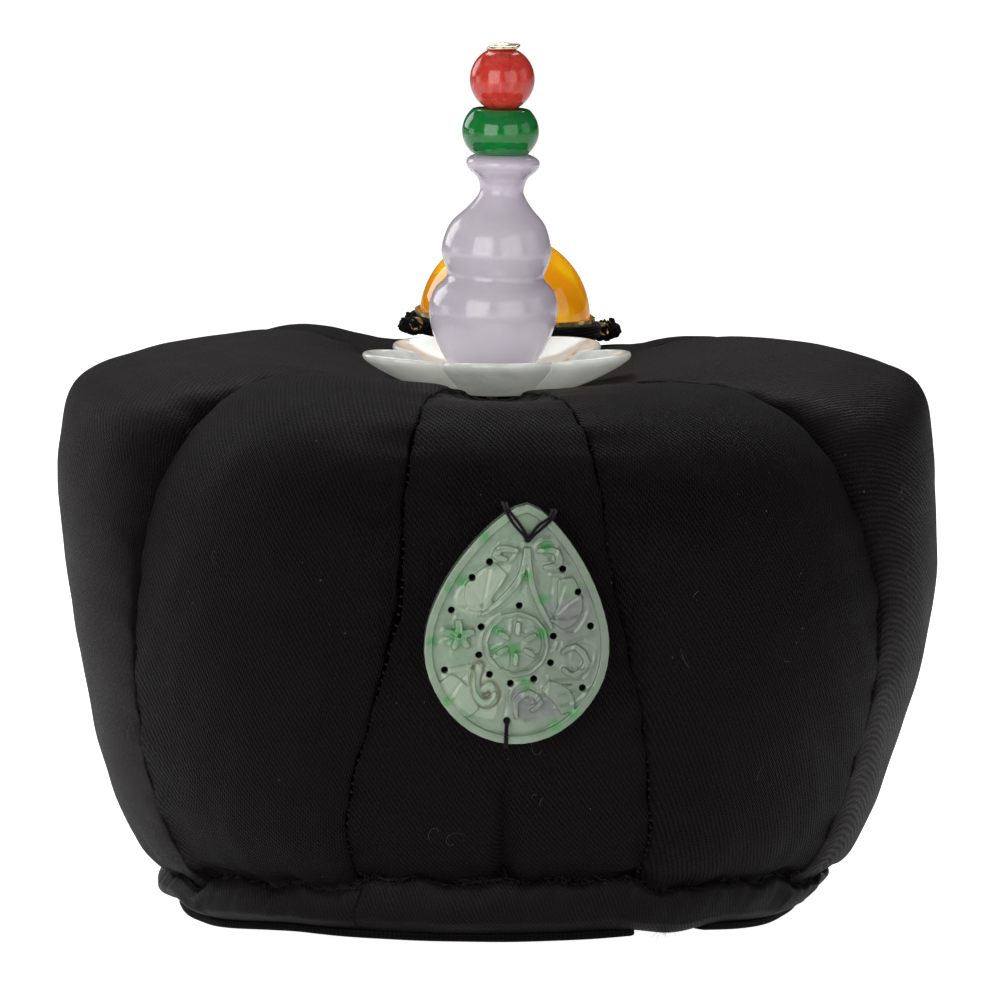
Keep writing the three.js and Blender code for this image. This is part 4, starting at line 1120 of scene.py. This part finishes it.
class CORONET_OT_amber(bpy.types.Operator):
    """The amber cabochon, its gilt setting and the black thread that lashes it down"""
    bl_idname = "coronet.amber"
    bl_label = "Amber and its setting"

    THREAD_TURNS = 16
    KNOT_TURNS = 64
    LOOSE_ENDS = 12
    EDGE = 0.25

    def execute(self, context):
        low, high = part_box("amber_dome")
        lean = (0, math.radians(AMBER["lean"]), 0)
        radius = AMBER["radius"]
        dome_foot = LASHING["height"] + LASHING["plate"] + 2 * LASHING["gap"]
        # The setting's foot lies straight under the dome's crown, along the leaning axis
        foot_z = high.z / MM - (dome_foot + radius) * math.cos(lean[1])
        self.foot = Vector((AMBER["x"], AMBER["y"], foot_z - AMBER_SINK))
        self.turn = Matrix.Rotation(lean[1], 3, "Y")
        profile = [(0, dome_foot)]
        for t in np.linspace(0, math.pi / 2, 5):
            profile.append((radius - self.EDGE + self.EDGE * math.sin(t),
                            dome_foot + self.EDGE - self.EDGE * math.cos(t)))
        for t in np.linspace(0.02, math.pi / 2, 44):
            profile.append((radius * math.cos(t), dome_foot + self.EDGE + (radius - self.EDGE) * math.sin(t)))
        piece = turned_piece("amber_cabochon", profile, 128, lean, self.foot)
        paint(piece, self.amber_material(context.scene.stone_look.amber, low.z, high.z))
        ride(piece)
        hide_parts("amber_dome")
        self.add_setting()
        self.add_lashing()
        return {"FINISHED"}

    def amber_material(self, colour, low, high):
        # The amber gives off light of its own, an emission strength of 0.42: a painted glow that brightens
        # the dome
        material, tree, shader = new_material(
            "Clear Amber", Roughness=0.06, IOR=1.54, Subsurface_Weight=0.5, Subsurface_Scale=0.008,
            Subsurface_Radius=(1.0, 0.45, 0.1), Coat_Weight=0.2, Coat_Roughness=0.03, Emission_Strength=0.42)
        vector = coordinates(tree)
        swirl = noise(tree, vector, 85.0, 3.0, 0.5, 1.2)
        height = scaled(tree, swirl, 0.006, add_node(tree, "SeparateXYZ", Vector=vector).outputs[2])
        warm = blend_colours(tree, spread(tree, height, low, high + 0.002), (0.62, 0.19, 0.006, 1),
                             rgba(colour))
        # Swirls of brighter yellow in the amber; the same mask colours its painted glow
        glow = spread(tree, swirl, 0.45, 0.68)
        wire(tree, shader, Base_Color=blend_colours(tree, glow, warm, (0.93, 0.50, 0.012, 1)),
             Emission_Color=blend_colours(tree, glow, (0.75, 0.26, 0.0, 1), (0.95, 0.5, 0.0, 1)))
        return material

    def add_setting(self):
        """The gilt plate and its bezel strip, pressed a little into the padding, with an eye at each lug."""
        piece = merged_copy("amber_mount", "gilt_setting")
        with_mesh(bpy.ops.transform.translate, value=(0, 0, -AMBER_SINK * MM))
        bpy.ops.object.shade_smooth_by_angle(angle=math.radians(30))
        gilt = metal_material("Worn Gilt", (0.80, 0.56, 0.22), (0.36, 0.24, 0.10), 420.0)
        paint(piece, gilt)
        ride(piece)
        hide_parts("amber_mount")
        for number, (degrees, height) in enumerate(LUGS, 1):
            x, y = polar(LASHING["knot_reach"] - 0.3, math.radians(degrees))
            heart = self.place(x, y - 1.2, height + 0.3)
            bpy.ops.object.select_all(action="DESELECT")
            turn = (math.radians(72), math.radians(14 * (3 - 2 * number)), 0)
            bpy.ops.mesh.primitive_torus_add(major_segments=32, minor_segments=12,
                                             major_radius=0.75 * MM, minor_radius=0.42 * MM,
                                             location=tuple(heart * MM), rotation=turn)
            eye = bpy.context.object
            eye.name = f"lug_eye_{number}"
            settle(eye)
            bpy.ops.object.shade_smooth()
            paint(eye, gilt)
            ride(eye)

    def add_lashing(self):
        """Turns of thread round the setting, and a tangle of turns at each lug."""
        dice = random.Random(7)
        lines = []
        for k in range(self.THREAD_TURNS):
            out, up = polar(1, TURN * k / self.THREAD_TURNS)
            lines.append([])
            for f in np.linspace(0, TURN, 90):
                reach = 14.6 + 0.35 * out + waves(f, ((0.12, 5, k), (0.1, 11, 2 * k)))
                lines[-1].append(self.place(*polar(reach, f), 1.35 + 1.05 * up + 0.14 * math.sin(3 * f + k)))
        for degrees, height in LUGS:
            x, y = polar(LASHING["knot_reach"], math.radians(degrees))
            heart = self.place(x, y, height)
            lines += [self.knot_turn(heart, dice) for _ in range(self.KNOT_TURNS)]
            lines += [self.loose_end(heart, dice, math.copysign(1, x)) for _ in range(self.LOOSE_ENDS)]
        piece = thread_piece("black_lashing", lines, 0.21, thread_material(), 2)
        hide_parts("mount_lashing")

    def place(self, x, y, z):
        """A place in mm in the scene from one in the leaning setting."""
        return np.array(self.turn @ Vector((x, y, z)) + self.foot) + AXIS_MM

    def knot_turn(self, heart, dice):
        """One turn of thread in a knot."""
        tilt = Matrix.Rotation(dice.uniform(0, math.pi), 3, "X")
        tilt = tilt @ Matrix.Rotation(dice.uniform(0, math.pi), 3, "Y")
        size = dice.uniform(0.9, 1.75)
        turn = []
        for f in np.linspace(0, TURN * 0.93, 20):
            loop = (size * 1.25 * math.cos(f), size * 0.9 * math.sin(f), 0.35 * math.sin(2 * f))
            place = tilt @ Vector(loop)
            turn.append(heart + np.array(place) * [1.15, 0.9, 0.8])
        return turn

    def loose_end(self, heart, dice, side):
        """A short bit of thread that stands out of a knot."""
        lean = dice.uniform(-0.9, 0.9)
        reach = dice.uniform(0.4, 1.2)
        start = np.array([side * dice.uniform(-0.8, 1.6), dice.uniform(-0.9, 0.9), 0.9])
        return [heart + start + [side * lean * f * reach, 0.4 * f, math.sin(f * 1.4) * reach]
                for f in np.linspace(0, 1, 6)]


class CORONET_OT_plaque(bpy.types.Operator):
    """The pierced and carved jade plaque, with the threads that tie it on"""
    bl_idname = "coronet.plaque"
    bl_label = "Carved plaque"

    # Places are in mm to the right and up from the plaque's middle. Ridges stand up and cuts are incised.
    RIDGES = [
        [(-0.1, 13.4), (-0.1, 10.0), (-0.6, 6.8), (-2.4, 4.7), (-4.4, 3.2), (-6.2, 2.3)],
        [(0.2, 9.3), (-0.2, 6.9), (-1.3, 5.2), (-3.3, 3.4), (-4.8, 2.4)],
        [(0.1, 13.4), (0.2, 9.8), (0.9, 6.1), (2.2, 3.7), (4.0, 1.9), (5.0, 0.9)],
        [(1.0, 7.5), (2.2, 5.5), (3.7, 4.0), (4.9, 2.8)],
        [(-3.7, 13.1), (-2.4, 13.7), (-1.3, 13.3), (-1.1, 12.0), (-2.0, 10.7), (-3.6, 10.0), (-5.4, 9.5)],
        [(-4.4, 12.0), (-3.2, 12.3), (-2.7, 11.8), (-3.7, 11.4), (-4.6, 11.4)],
        [(1.8, 11.3), (1.5, 12.8), (2.5, 14.1), (3.9, 14.3), (5.0, 13.2), (4.9, 11.8), (3.8, 11.0),
         (2.8, 11.6), (2.8, 12.7), (3.6, 13.1)],
        [(4.2, 9.1), (5.8, 9.3), (6.6, 8.2), (7.7, 7.1), (9.6, 5.6), (10.2, 4.2), (9.5, 2.1), (8.2, 0.6),
         (6.0, 0.8), (5.0, 2.5)],
        [(1.7, -13.6), (0.3, -11.9), (-0.4, -9.7), (0.1, -8.0), (1.6, -7.1), (3.2, -7.7), (3.8, -9.1),
         (2.9, -10.2), (1.7, -9.8), (1.6, -8.8), (2.2, -8.5)],
        [(3.8, -4.9), (4.3, -7.1), (4.0, -9.0), (3.3, -10.1)],
        [(5.0, -6.0), (5.2, -7.8), (4.8, -9.6)],
        [(9.7, -0.3), (11.2, -1.0), (11.7, -2.4), (11.2, -4.2), (9.8, -4.8), (8.5, -4.1), (8.2, -2.6),
         (8.7, -0.9), (9.7, -0.3)],
        [(6.8, -0.8), (6.9, -2.9), (7.6, -4.5), (8.1, -5.4)],
        [(6.0, -0.9), (5.6, -2.0), (5.1, -2.3)],
        [(6.2, -6.7), (8.1, -6.6), (10.2, -6.1), (11.2, -4.7)],
        [(6.5, -10.7), (8.4, -10.2), (10.1, -9.0), (11.3, -7.4)],
        [(-8.6, -0.7), (-9.3, 0.6), (-9.3, 1.8), (-8.6, 1.6), (-8.3, 0.4), (-8.5, -0.7)],
        [(-8.7, -0.9), (-10.0, 0.0), (-11.1, -0.2), (-10.9, -0.9), (-9.6, -1.1), (-8.7, -1.2)],
        [(-8.7, -1.2), (-9.9, -1.4), (-11.1, -2.0), (-10.7, -2.6), (-9.3, -1.9), (-8.7, -1.3)],
        [(-8.4, -1.3), (-9.2, -2.6), (-9.5, -3.7), (-9.0, -4.4)],
        [(-8.2, -1.2), (-7.3, -2.1), (-6.5, -2.0), (-6.9, -1.0), (-7.9, -0.9)],
        [(-8.3, -0.7), (-7.7, 0.2), (-6.8, 0.0), (-6.3, -0.5)],
    ]
    CUTS = [
        [(-5.6, 3.8), (-5.3, 6.2), (-5.0, 9.3)],
        [(-5.6, 3.8), (-6.5, 5.0), (-7.6, 6.6)],
        [(-5.6, 3.8), (-7.3, 3.6), (-9.1, 3.6)],
        [(-5.6, 3.6), (-6.5, 3.1), (-7.7, 2.8)],
        [(-5.5, 4.0), (-4.0, 5.8), (-3.2, 7.8)],
        [(5.1, 2.8), (4.5, 5.6), (4.5, 8.6)],
        [(5.1, 2.8), (5.7, 5.5), (6.3, 7.9)],
        [(5.1, 2.8), (6.6, 4.7), (8.4, 6.2)],
        [(5.1, 2.8), (7.3, 3.1), (9.5, 3.9)],
        [(-6.2, -5.4), (-8.4, -6.3), (-10.5, -6.5)],
        [(-6.2, -5.4), (-7.8, -7.5), (-9.2, -10.0)],
        [(-6.2, -5.4), (-6.4, -7.2), (-6.6, -8.8)],
        [(6.6, -8.5), (8.2, -8.1), (9.5, -7.6)],
        [(-0.9, -8.5), (-0.9, -10.7), (-1.1, -12.6)],
        [(0.0, 13.2), (0.0, 9.8), (0.1, 6.4)],
    ]
    SCROLL = [(-5.3, -5.2), (-5.7, -7.4), (-5.2, -9.5), (-4.1, -10.6), (-2.9, -10.1), (-2.7, -9.0),
              (-3.5, -8.1), (-4.3, -8.6)]
    LEAVES = [
        [(-6.2, 2.3), (-8.2, 2.4), (-9.7, 3.5), (-9.6, 5.7), (-7.9, 7.4), (-5.9, 9.1), (-3.8, 9.8),
         (-2.0, 10.4), (-1.6, 9.6), (-2.6, 7.4), (-4.0, 5.2), (-5.3, 3.5)],
        [(-5.5, -4.8), (-8.2, -5.4), (-10.7, -6.4), (-10.3, -8.8), (-8.6, -11.0), (-6.3, -12.5),
         (-4.4, -13.1), (-2.3, -12.9), (-2.3, -9.5), (-3.2, -7.2)],
    ]
    # Vivid green spots and lilac-grey ones: place to the right, up, and radius in mm
    GREEN_SPOTS = [(-3.1, 0.5, 1.5), (-3.4, -2.7, 1.2), (-0.6, -2.5, 1.7), (3.6, 0.3, 1.5),
                   (3.3, 5.5, 1.4), (1.8, -7.3, 1.4), (6.6, -13.3, 1.6), (-5.8, 14.1, 1.3),
                   (-9.0, 7.4, 1.7), (-10.7, 6.0, 1.2), (3.2, 13.2, 1.3), (-12.4, -2.0, 1.3),
                   (0.4, 8.6, 1.5), (-9.0, -0.6, 2.3), (9.2, -11.2, 1.4), (9.0, 7.0, 1.2),
                   (-9.6, -10.6, 1.3)]
    LILAC_SPOTS = [(7.3, 2.9, 3.6), (9.4, 6.6, 1.8), (2.3, -11.0, 2.8), (5.4, -10.6, 2.0), (0.6, -9.4, 1.4)]
    MEDALLION = (-0.4, -1.5)
    # Width and rise of a carved line, in mm
    RIDGE = (0.24, 0.24)
    CUT = (0.2, -0.22)
    TOP_HOLE = (0.4, 14.2)
    TOP_TIE_ENDS = ((-2.9, 18.0), (3.5, 17.5))
    FOOT_HOLE = (-0.6, -13.1)
    # Marks kept on the mesh: lowest and highest value, strength and colour
    TINTS = (
        ("pale_leaf", 0.3, 1.0, 0.8, (0.34, 0.42, 0.31, 1)),
        ("green_spot", 0.45, 1.3, 1.0, (0.055, 0.27, 0.07, 1)),
        ("lilac_spot", 0.4, 1.3, 0.95, (0.16, 0.165, 0.165, 1)),
        ("brown_edge", 0.5, 1.2, 0.75, (0.17, 0.13, 0.08, 1)),
    )

    def execute(self, context):
        turn = math.radians(PLAQUE["turn"])
        across = np.array([math.cos(turn), math.sin(turn), 0])
        self.facing = np.array([math.sin(turn), -math.cos(turn), 0])
        up = np.array([0, 0, 1])
        lean = math.radians(PLAQUE["lean"])
        self.right = across * math.cos(lean) + up * math.sin(lean)
        self.up = up * math.cos(lean) - across * math.sin(lean)
        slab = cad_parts["jade_plaque"].data.vertices
        back = min(np.dot(np.array(v.co), self.facing) for v in slab) / MM
        centre = AXIS_MM + self.facing * (back - np.dot(AXIS_MM, self.facing))
        centre = centre + across * ((PLAQUE["x"] + AXIS_MM[0] - centre[0]) / across[0])
        self.origin = centre + up * PLAQUE["z"]
        self.add_plaque(context.scene.stone_look)
        self.add_ties()
        return {"FINISHED"}

    def place(self, u, v, out):
        """A place in mm from the plaque's own right, up and outward distances."""
        return self.origin + self.right * u + self.up * v + self.facing * out

    def add_plaque(self, look):
        piece = merged_copy("jade_plaque", "carved_plaque")
        piece.data.remesh_voxel_size = 0.17 * MM
        bpy.ops.object.voxel_remesh()
        soften = piece.modifiers.new("Soften", "SMOOTH")
        soften.factor = 0.5
        soften.iterations = 7
        bpy.ops.object.modifier_apply(modifier=soften.name)
        self.carve(piece)
        bpy.ops.object.shade_smooth()
        paint(piece, self.plaque_material(look))
        ride(piece)
        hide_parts("jade_plaque")

    def carve(self, piece):
        """Moves the front face in and out along the carved lines."""
        count = len(piece.data.vertices)
        places = np.empty(count * 3)
        piece.data.vertices.foreach_get("co", places)
        places = places.reshape(-1, 3) / MM
        local = places - self.origin
        flat = np.stack([local @ self.right, local @ self.up], -1)
        front = ramp(local @ self.facing, PLAQUE["slab"] - 0.5, PLAQUE["slab"] - 0.1)
        leaf = np.zeros(count)
        for loop in self.LEAVES:
            line = smooth_line([*loop, loop[0]], 8 * len(loop))
            depth = nearest(flat, line) * np.where(inside_loop(flat, line), 1, -1)
            leaf = np.maximum(leaf, ramp(depth, -0.1, 0.45))
        push = 0.2 * leaf
        for (width, rise), points in self.strokes():
            push += rise * hump(nearest(flat, smooth_line(points, 6 * len(points))), width)
        scroll = nearest(flat, smooth_line(self.SCROLL, 48))
        push += 0.34 * np.exp(-((scroll / 0.62) ** 4)) - 0.2 * hump(scroll - 0.85, 0.18)
        push += 0.06 * wander(local, 5.0, 31) + 0.03 * wander(local, 1.7, 32)
        places += self.facing * (push * front)[:, None]
        piece.data.vertices.foreach_set("co", (places * MM).ravel())
        self.mark(piece, "pale_leaf", leaf)
        self.mark(piece, "brown_edge", hump(scroll - 0.8, 0.3) * front)
        for name, spots in (("green_spot", self.GREEN_SPOTS), ("lilac_spot", self.LILAC_SPOTS)):
            shares = [hump(nearest(flat, [spot[:2]]), spot[2]) for spot in spots]
            self.mark(piece, name, np.max(shares, axis=0))
        piece.data.update()

    def mark(self, piece, name, values):
        """Keeps a value from 0 to 1 at each place of the mesh, for the material."""
        layer = piece.data.attributes.new(name, "FLOAT", "POINT")
        layer.data.foreach_set("value", np.ascontiguousarray(values, dtype=np.float32))

    def strokes(self):
        """All carved lines with their kinds, and the round ornament worked out from its size."""
        strokes = [(self.RIDGE, line) for line in self.RIDGES] + [(self.CUT, line) for line in self.CUTS]
        centre = np.array(self.MEDALLION)
        for kind, ring in ((self.RIDGE, 4.9), (self.CUT, 4.25)):
            strokes.append((kind, [centre + polar(ring, t) for t in np.linspace(0, TURN, 24)]))
        for k in range(6):
            away = np.array(polar(1, (k + 0.5) * math.pi / 3))
            beside = np.array([-away[1], away[0]])
            strokes += [(self.RIDGE, [centre + away * reach + beside * shift for reach in (1.5, 2.5, 3.5)])
                        for shift in (-0.7, 0.7)]
        return strokes

    def plaque_material(self, look):
        """Grey-green jade with pale leaves, vivid green spots, lilac-grey ones and brown along the scroll,
        darkened towards its right side as painted shade.
        """
        material, tree, shader, colour = jade_material(
            "Plaque Jade", rgba(look.plaque), rgba(look.plaque, 1.22), 150.0, 0.2, roughness=0.13)
        vector = coordinates(tree)
        ragged = noise(tree, vector, 800.0, 4.0, 0.7, 0.6)
        # Darker towards the plaque's right side: painted shade
        painted_shade_to_right = spread(tree, add_node(tree, "SeparateXYZ", Vector=vector).outputs[0], 0.001, 0.011)
        colour = blend_colours(tree, times(tree, painted_shade_to_right, 0.55), colour, (0.125, 0.155, 0.12, 1))
        for name, low, high, share, tint in self.TINTS:
            mask = add_node(tree, "Attribute")
            mask.attribute_name = name
            uneven = maths(tree, "ADD", mask.outputs["Fac"], scaled(tree, ragged, 0.9, -0.3))
            colour = blend_colours(tree, times(tree, spread(tree, uneven, low, high), share), colour, tint)
        haze = spread(tree, noise(tree, vector, 90.0, 4.0, 0.6, 0.5), 0.5, 0.72)
        wire(tree, shader,
             Base_Color=blend_colours(tree, times(tree, haze, 0.45), colour, (0.13, 0.30, 0.13, 1)))
        return material

    def add_ties(self):
        """Doubled thread from the top hole over both shoulders, and one thread down from the foot hole."""
        face = PLAQUE["slab"] + 0.85
        lines = []
        u, v = self.TOP_HOLE
        for end_u, end_v in self.TOP_TIE_ENDS:
            for shift in (-0.27, 0.27):
                lines += self.twisted([
                    (u + shift * 0.4, v, 0.2), (u + shift * 0.6, v, face - 0.3),
                    (mix(u, end_u, 0.22) + shift, v + 0.9, face + 0.12),
                    (mix(u, end_u, 0.6) + shift * 1.7, v + 2.3, face + 0.16),
                    (end_u + shift, end_v + 0.15, face - 0.1),
                    (end_u * 1.12 + shift, end_v + 0.75, face - 1.6),
                    (end_u * 1.15 + shift, end_v + 0.9, 0.2), (end_u * 1.12 + shift, end_v + 0.8, -2.2)])
        u, v = self.FOOT_HOLE
        lines += self.twisted([(u, v, 0.2), (u, v, face - 0.3), (u, v - 1.2, face + 0.14),
                               (u + 0.1, v - 3.2, face + 0.05), (u + 0.2, v - 4.0, face - 1.4),
                               (u + 0.2, v - 4.1, 0.2), (u + 0.2, v - 3.9, -2.0)], 0.2)
        thread_piece("plaque_ties", lines, 0.14, thread_material("Tie Thread"), 2)

    def twisted(self, path, radius=0.13):
        """Three strands twisted round one path."""
        strands = []
        for strand in range(3):
            strands.append([])
            for k, (u, v, out) in enumerate(smooth_line(path, 90)):
                aside, rise = polar(radius, TURN * (k / 9 + strand / 3))
                strands[-1].append(self.place(u + aside, v + 0.3 * rise, out + rise))
        return strands


class CORONET_OT_stitches(bpy.types.Operator):
    """Seam stitches, frayed ends and lint"""
    bl_idname = "coronet.stitches"
    bl_label = "Stitches, fraying and lint"

    # How far the stitches of a seam show, where it is more than a little
    BOLD_SEAMS = {"side_right": 1.1, "rear_side_right": 0.8, "back_left": 0.7}
    # Directions in degrees where the gathered join is frayed
    TUFTS = (-66, -52, -40, -36, -28, -24, -18, -3, 1, 14, 27, 44, 52, 57, 68, 95, 130, 175, 210, 250)
    HEM_FIBRES = 900
    TAPE_END_FIBRES = 40
    TAPE_END_AT = 32.5
    # Lint: gore number, shares of the way down and across, spread and number of hairs
    LINT = (
        (2, 0.62, 0.10, 0.030, 9), (2, 0.68, 0.14, 0.02, 5), (1, 0.80, 0.45, 0.05, 2),
        (1, 0.62, 0.2, 0.08, 2), (0, 0.78, 0.62, 0.06, 3), (0, 0.88, 0.3, 0.05, 2), (7, 0.55, 0.5, 0.18, 3),
        (6, 0.7, 0.9, 0.08, 2), (4, 0.6, 0.5, 0.3, 3), (3, 0.5, 0.5, 0.3, 3),
    )

    def execute(self, context):
        self.add_seam_stitches(context.scene.crown_sizes.stitch_pitch / 2)
        self.add_fraying()
        self.add_lint()
        return {"FINISHED"}

    def add_seam_stitches(self, pitch):
        """Short threads across each seam."""
        dice = random.Random(3)
        down = np.linspace(0.10, 0.985, 900)
        lines = []
        for gore in GORES:
            seam = outer_cloth(gore, down, np.zeros(len(down)))
            beside = outer_cloth(gore, down, np.full(len(down), 0.004))
            length = arc_length(seam, 0)
            bold = self.BOLD_SEAMS.get(gore["start"], 0.35)
            for target in np.arange(0.5, length[-1], pitch):
                k = int(np.searchsorted(length, target + dice.uniform(-0.3, 0.3)))
                k = min(max(k, 1), len(down) - 2)
                along = unit(seam[k + 1] - seam[k - 1])
                side = beside[k] - seam[k]
                side = unit(side - along * np.dot(side, along))
                out = np.cross(along, side)
                out *= math.copysign(1, np.dot(out, seam[k] - CROWN_MIDDLE))
                slant = along * dice.uniform(0.3, 0.9) * bold / 2
                half = side * dice.uniform(0.34, 0.5) * bold
                middle = seam[k] - side * 0.15 - out * (0.3 - 0.12 * bold)
                lines.append([middle + (half + slant) * share + out * lift
                              for share, lift in ((-1, -0.25), (-0.5, 0.08), (0.5, 0.08), (1, -0.25))])
        thread_piece("seam_stitches", lines, 0.12, thread_material("Seam Thread", (0.007, 0.006, 0.007)), 1)

    def add_fraying(self):
        """Fine fibres that stand out of the gathered join, thickest in tufts, and out of the tape's end."""
        dice = random.Random(19)
        lines = []
        for _ in range(self.HEM_FIBRES):
            if dice.random() < 0.72:
                degrees = dice.choice(self.TUFTS) + dice.gauss(0, 2.6)
            else:
                degrees = dice.uniform(-180, 180)
            angle = math.radians(degrees)
            start = self.hem_point(angle)
            away = np.array([math.sin(angle), -math.cos(angle), 0])
            beside = np.array([math.cos(angle), math.sin(angle), 0])
            lean = dice.gauss(0, 0.9)
            rise = np.array([0, 0, 0.6 * dice.gauss(0.25, 0.9)])
            length = dice.uniform(0.6, 2.4)
            bend = dice.gauss(0, 1.1)
            lines.append([start + away * 0.1 + length * (away * 0.22 * math.sin(1.9 * f) + rise * f
                                                         + beside * (lean * f + bend * f * f) * 0.5)
                          for f in np.linspace(0, 1, 7)])
        for _ in range(self.TAPE_END_FIBRES):
            angle = math.radians(self.TAPE_END_AT + dice.gauss(0, 0.5))
            start = around(angle, TAPE["outer"] + dice.uniform(-0.9, -0.3), dice.uniform(2.5, 3.2))
            heading = np.array([dice.gauss(0.1, 0.35), -dice.uniform(0.1, 0.4), -dice.uniform(0.5, 1.0)])
            length = dice.uniform(0.7, 1.6)
            lines.append([start + heading * length * f + np.array([dice.gauss(0, 0.04), 0, 0]) * f
                          for f in np.linspace(0, 1, 6)])
        silk = thread_material("Frayed Silk", (0.014, 0.012, 0.014))
        thread_piece("frayed_fibres", lines, 0.03, silk, 0, 0.6)

    def hem_point(self, angle):
        """A place on the gathered join."""
        for gore in GORES:
            start, end = (float(seam_angle(gore[side], 1.0)) for side in ("start", "end"))
            width = (end - start) % TURN
            past_start = (angle - start) % TURN
            if past_start <= width:
                place = outer_cloth(gore, np.ones(1), np.array([past_start / width]))[0]
                return place + [0, 0, waves(angle, HEM_SCALLOPS)]
        raise RuntimeError("no gore lies in that direction")

    def add_lint(self):
        """A few pale hairs on the cloth."""
        dice = random.Random(5)
        material, tree, shader = new_material("Pale Lint", Roughness=0.8)
        shade = noise(tree, coordinates(tree), 900.0)
        wire(tree, shader,
             Base_Color=blend_colours(tree, shade, (0.04, 0.038, 0.038, 1), (0.13, 0.125, 0.12, 1)))
        steps = np.linspace(0, 1, 12)
        lines = []
        for number, down, across, spread_by, hairs in self.LINT:
            for _ in range(hairs):
                heading = dice.uniform(0, TURN) + dice.gauss(0, 2.2) * steps
                start_down = down + dice.gauss(0, spread_by)
                start_across = clamp01(across + dice.gauss(0, spread_by))
                reach = dice.uniform(0.008, 0.022) * steps
                cloth = outer_cloth(GORES[number], np.clip(start_down + reach * np.cos(heading), 0.05, 0.98),
                                    np.clip(start_across + 2.2 * reach * np.sin(heading), 0.03, 0.97))
                lines.append(cloth + unit(cloth - CROWN_MIDDLE) * 0.4)
        thread_piece("lint_hairs", lines, 0.032, material, 0, 0.6)


class CORONET_PT_panel(bpy.types.Panel):
    """Lists the coronet's pieces and their settings"""
    bl_idname = "CORONET_PT_panel"
    bl_label = "Bridal coronet"
    bl_space_type = "VIEW_3D"
    bl_region_type = "UI"
    bl_category = "Coronet"

    def draw(self, context):
        layout = self.layout
        for name in PROPERTIES:
            group = getattr(context.scene, name)
            box = layout.box()
            for label in group.__annotations__:
                box.prop(group, label)
        for operator in OPERATORS:
            layout.operator(operator.bl_idname)


OPERATORS = (CORONET_OT_stage, CORONET_OT_gores, CORONET_OT_hem, CORONET_OT_dish, CORONET_OT_beads,
             CORONET_OT_amber, CORONET_OT_plaque, CORONET_OT_stitches)
PROPERTIES = {"crown_sizes": CrownSizes, "cloth_look": ClothLook, "stone_look": StoneLook,
              "coronet_stage": StageSettings}


def register():
    for name, group in PROPERTIES.items():
        bpy.utils.register_class(group)
        setattr(bpy.types.Scene, name, PointerProperty(type=group))
    for kind in (*OPERATORS, CORONET_PT_panel):
        bpy.utils.register_class(kind)


def unregister():
    for kind in (CORONET_PT_panel, *reversed(OPERATORS)):
        bpy.utils.unregister_class(kind)
    for name, group in reversed(PROPERTIES.items()):
        delattr(bpy.types.Scene, name)
        bpy.utils.unregister_class(group)


def main():
    register()
    bpy.ops.coronet.stage()
    bpy.ops.coronet.gores()
    bpy.ops.coronet.hem()
    bpy.ops.coronet.dish()
    bpy.ops.coronet.beads()
    bpy.ops.coronet.amber()
    bpy.ops.coronet.plaque()
    bpy.ops.coronet.stitches()


if __name__ == "__main__":
    main()
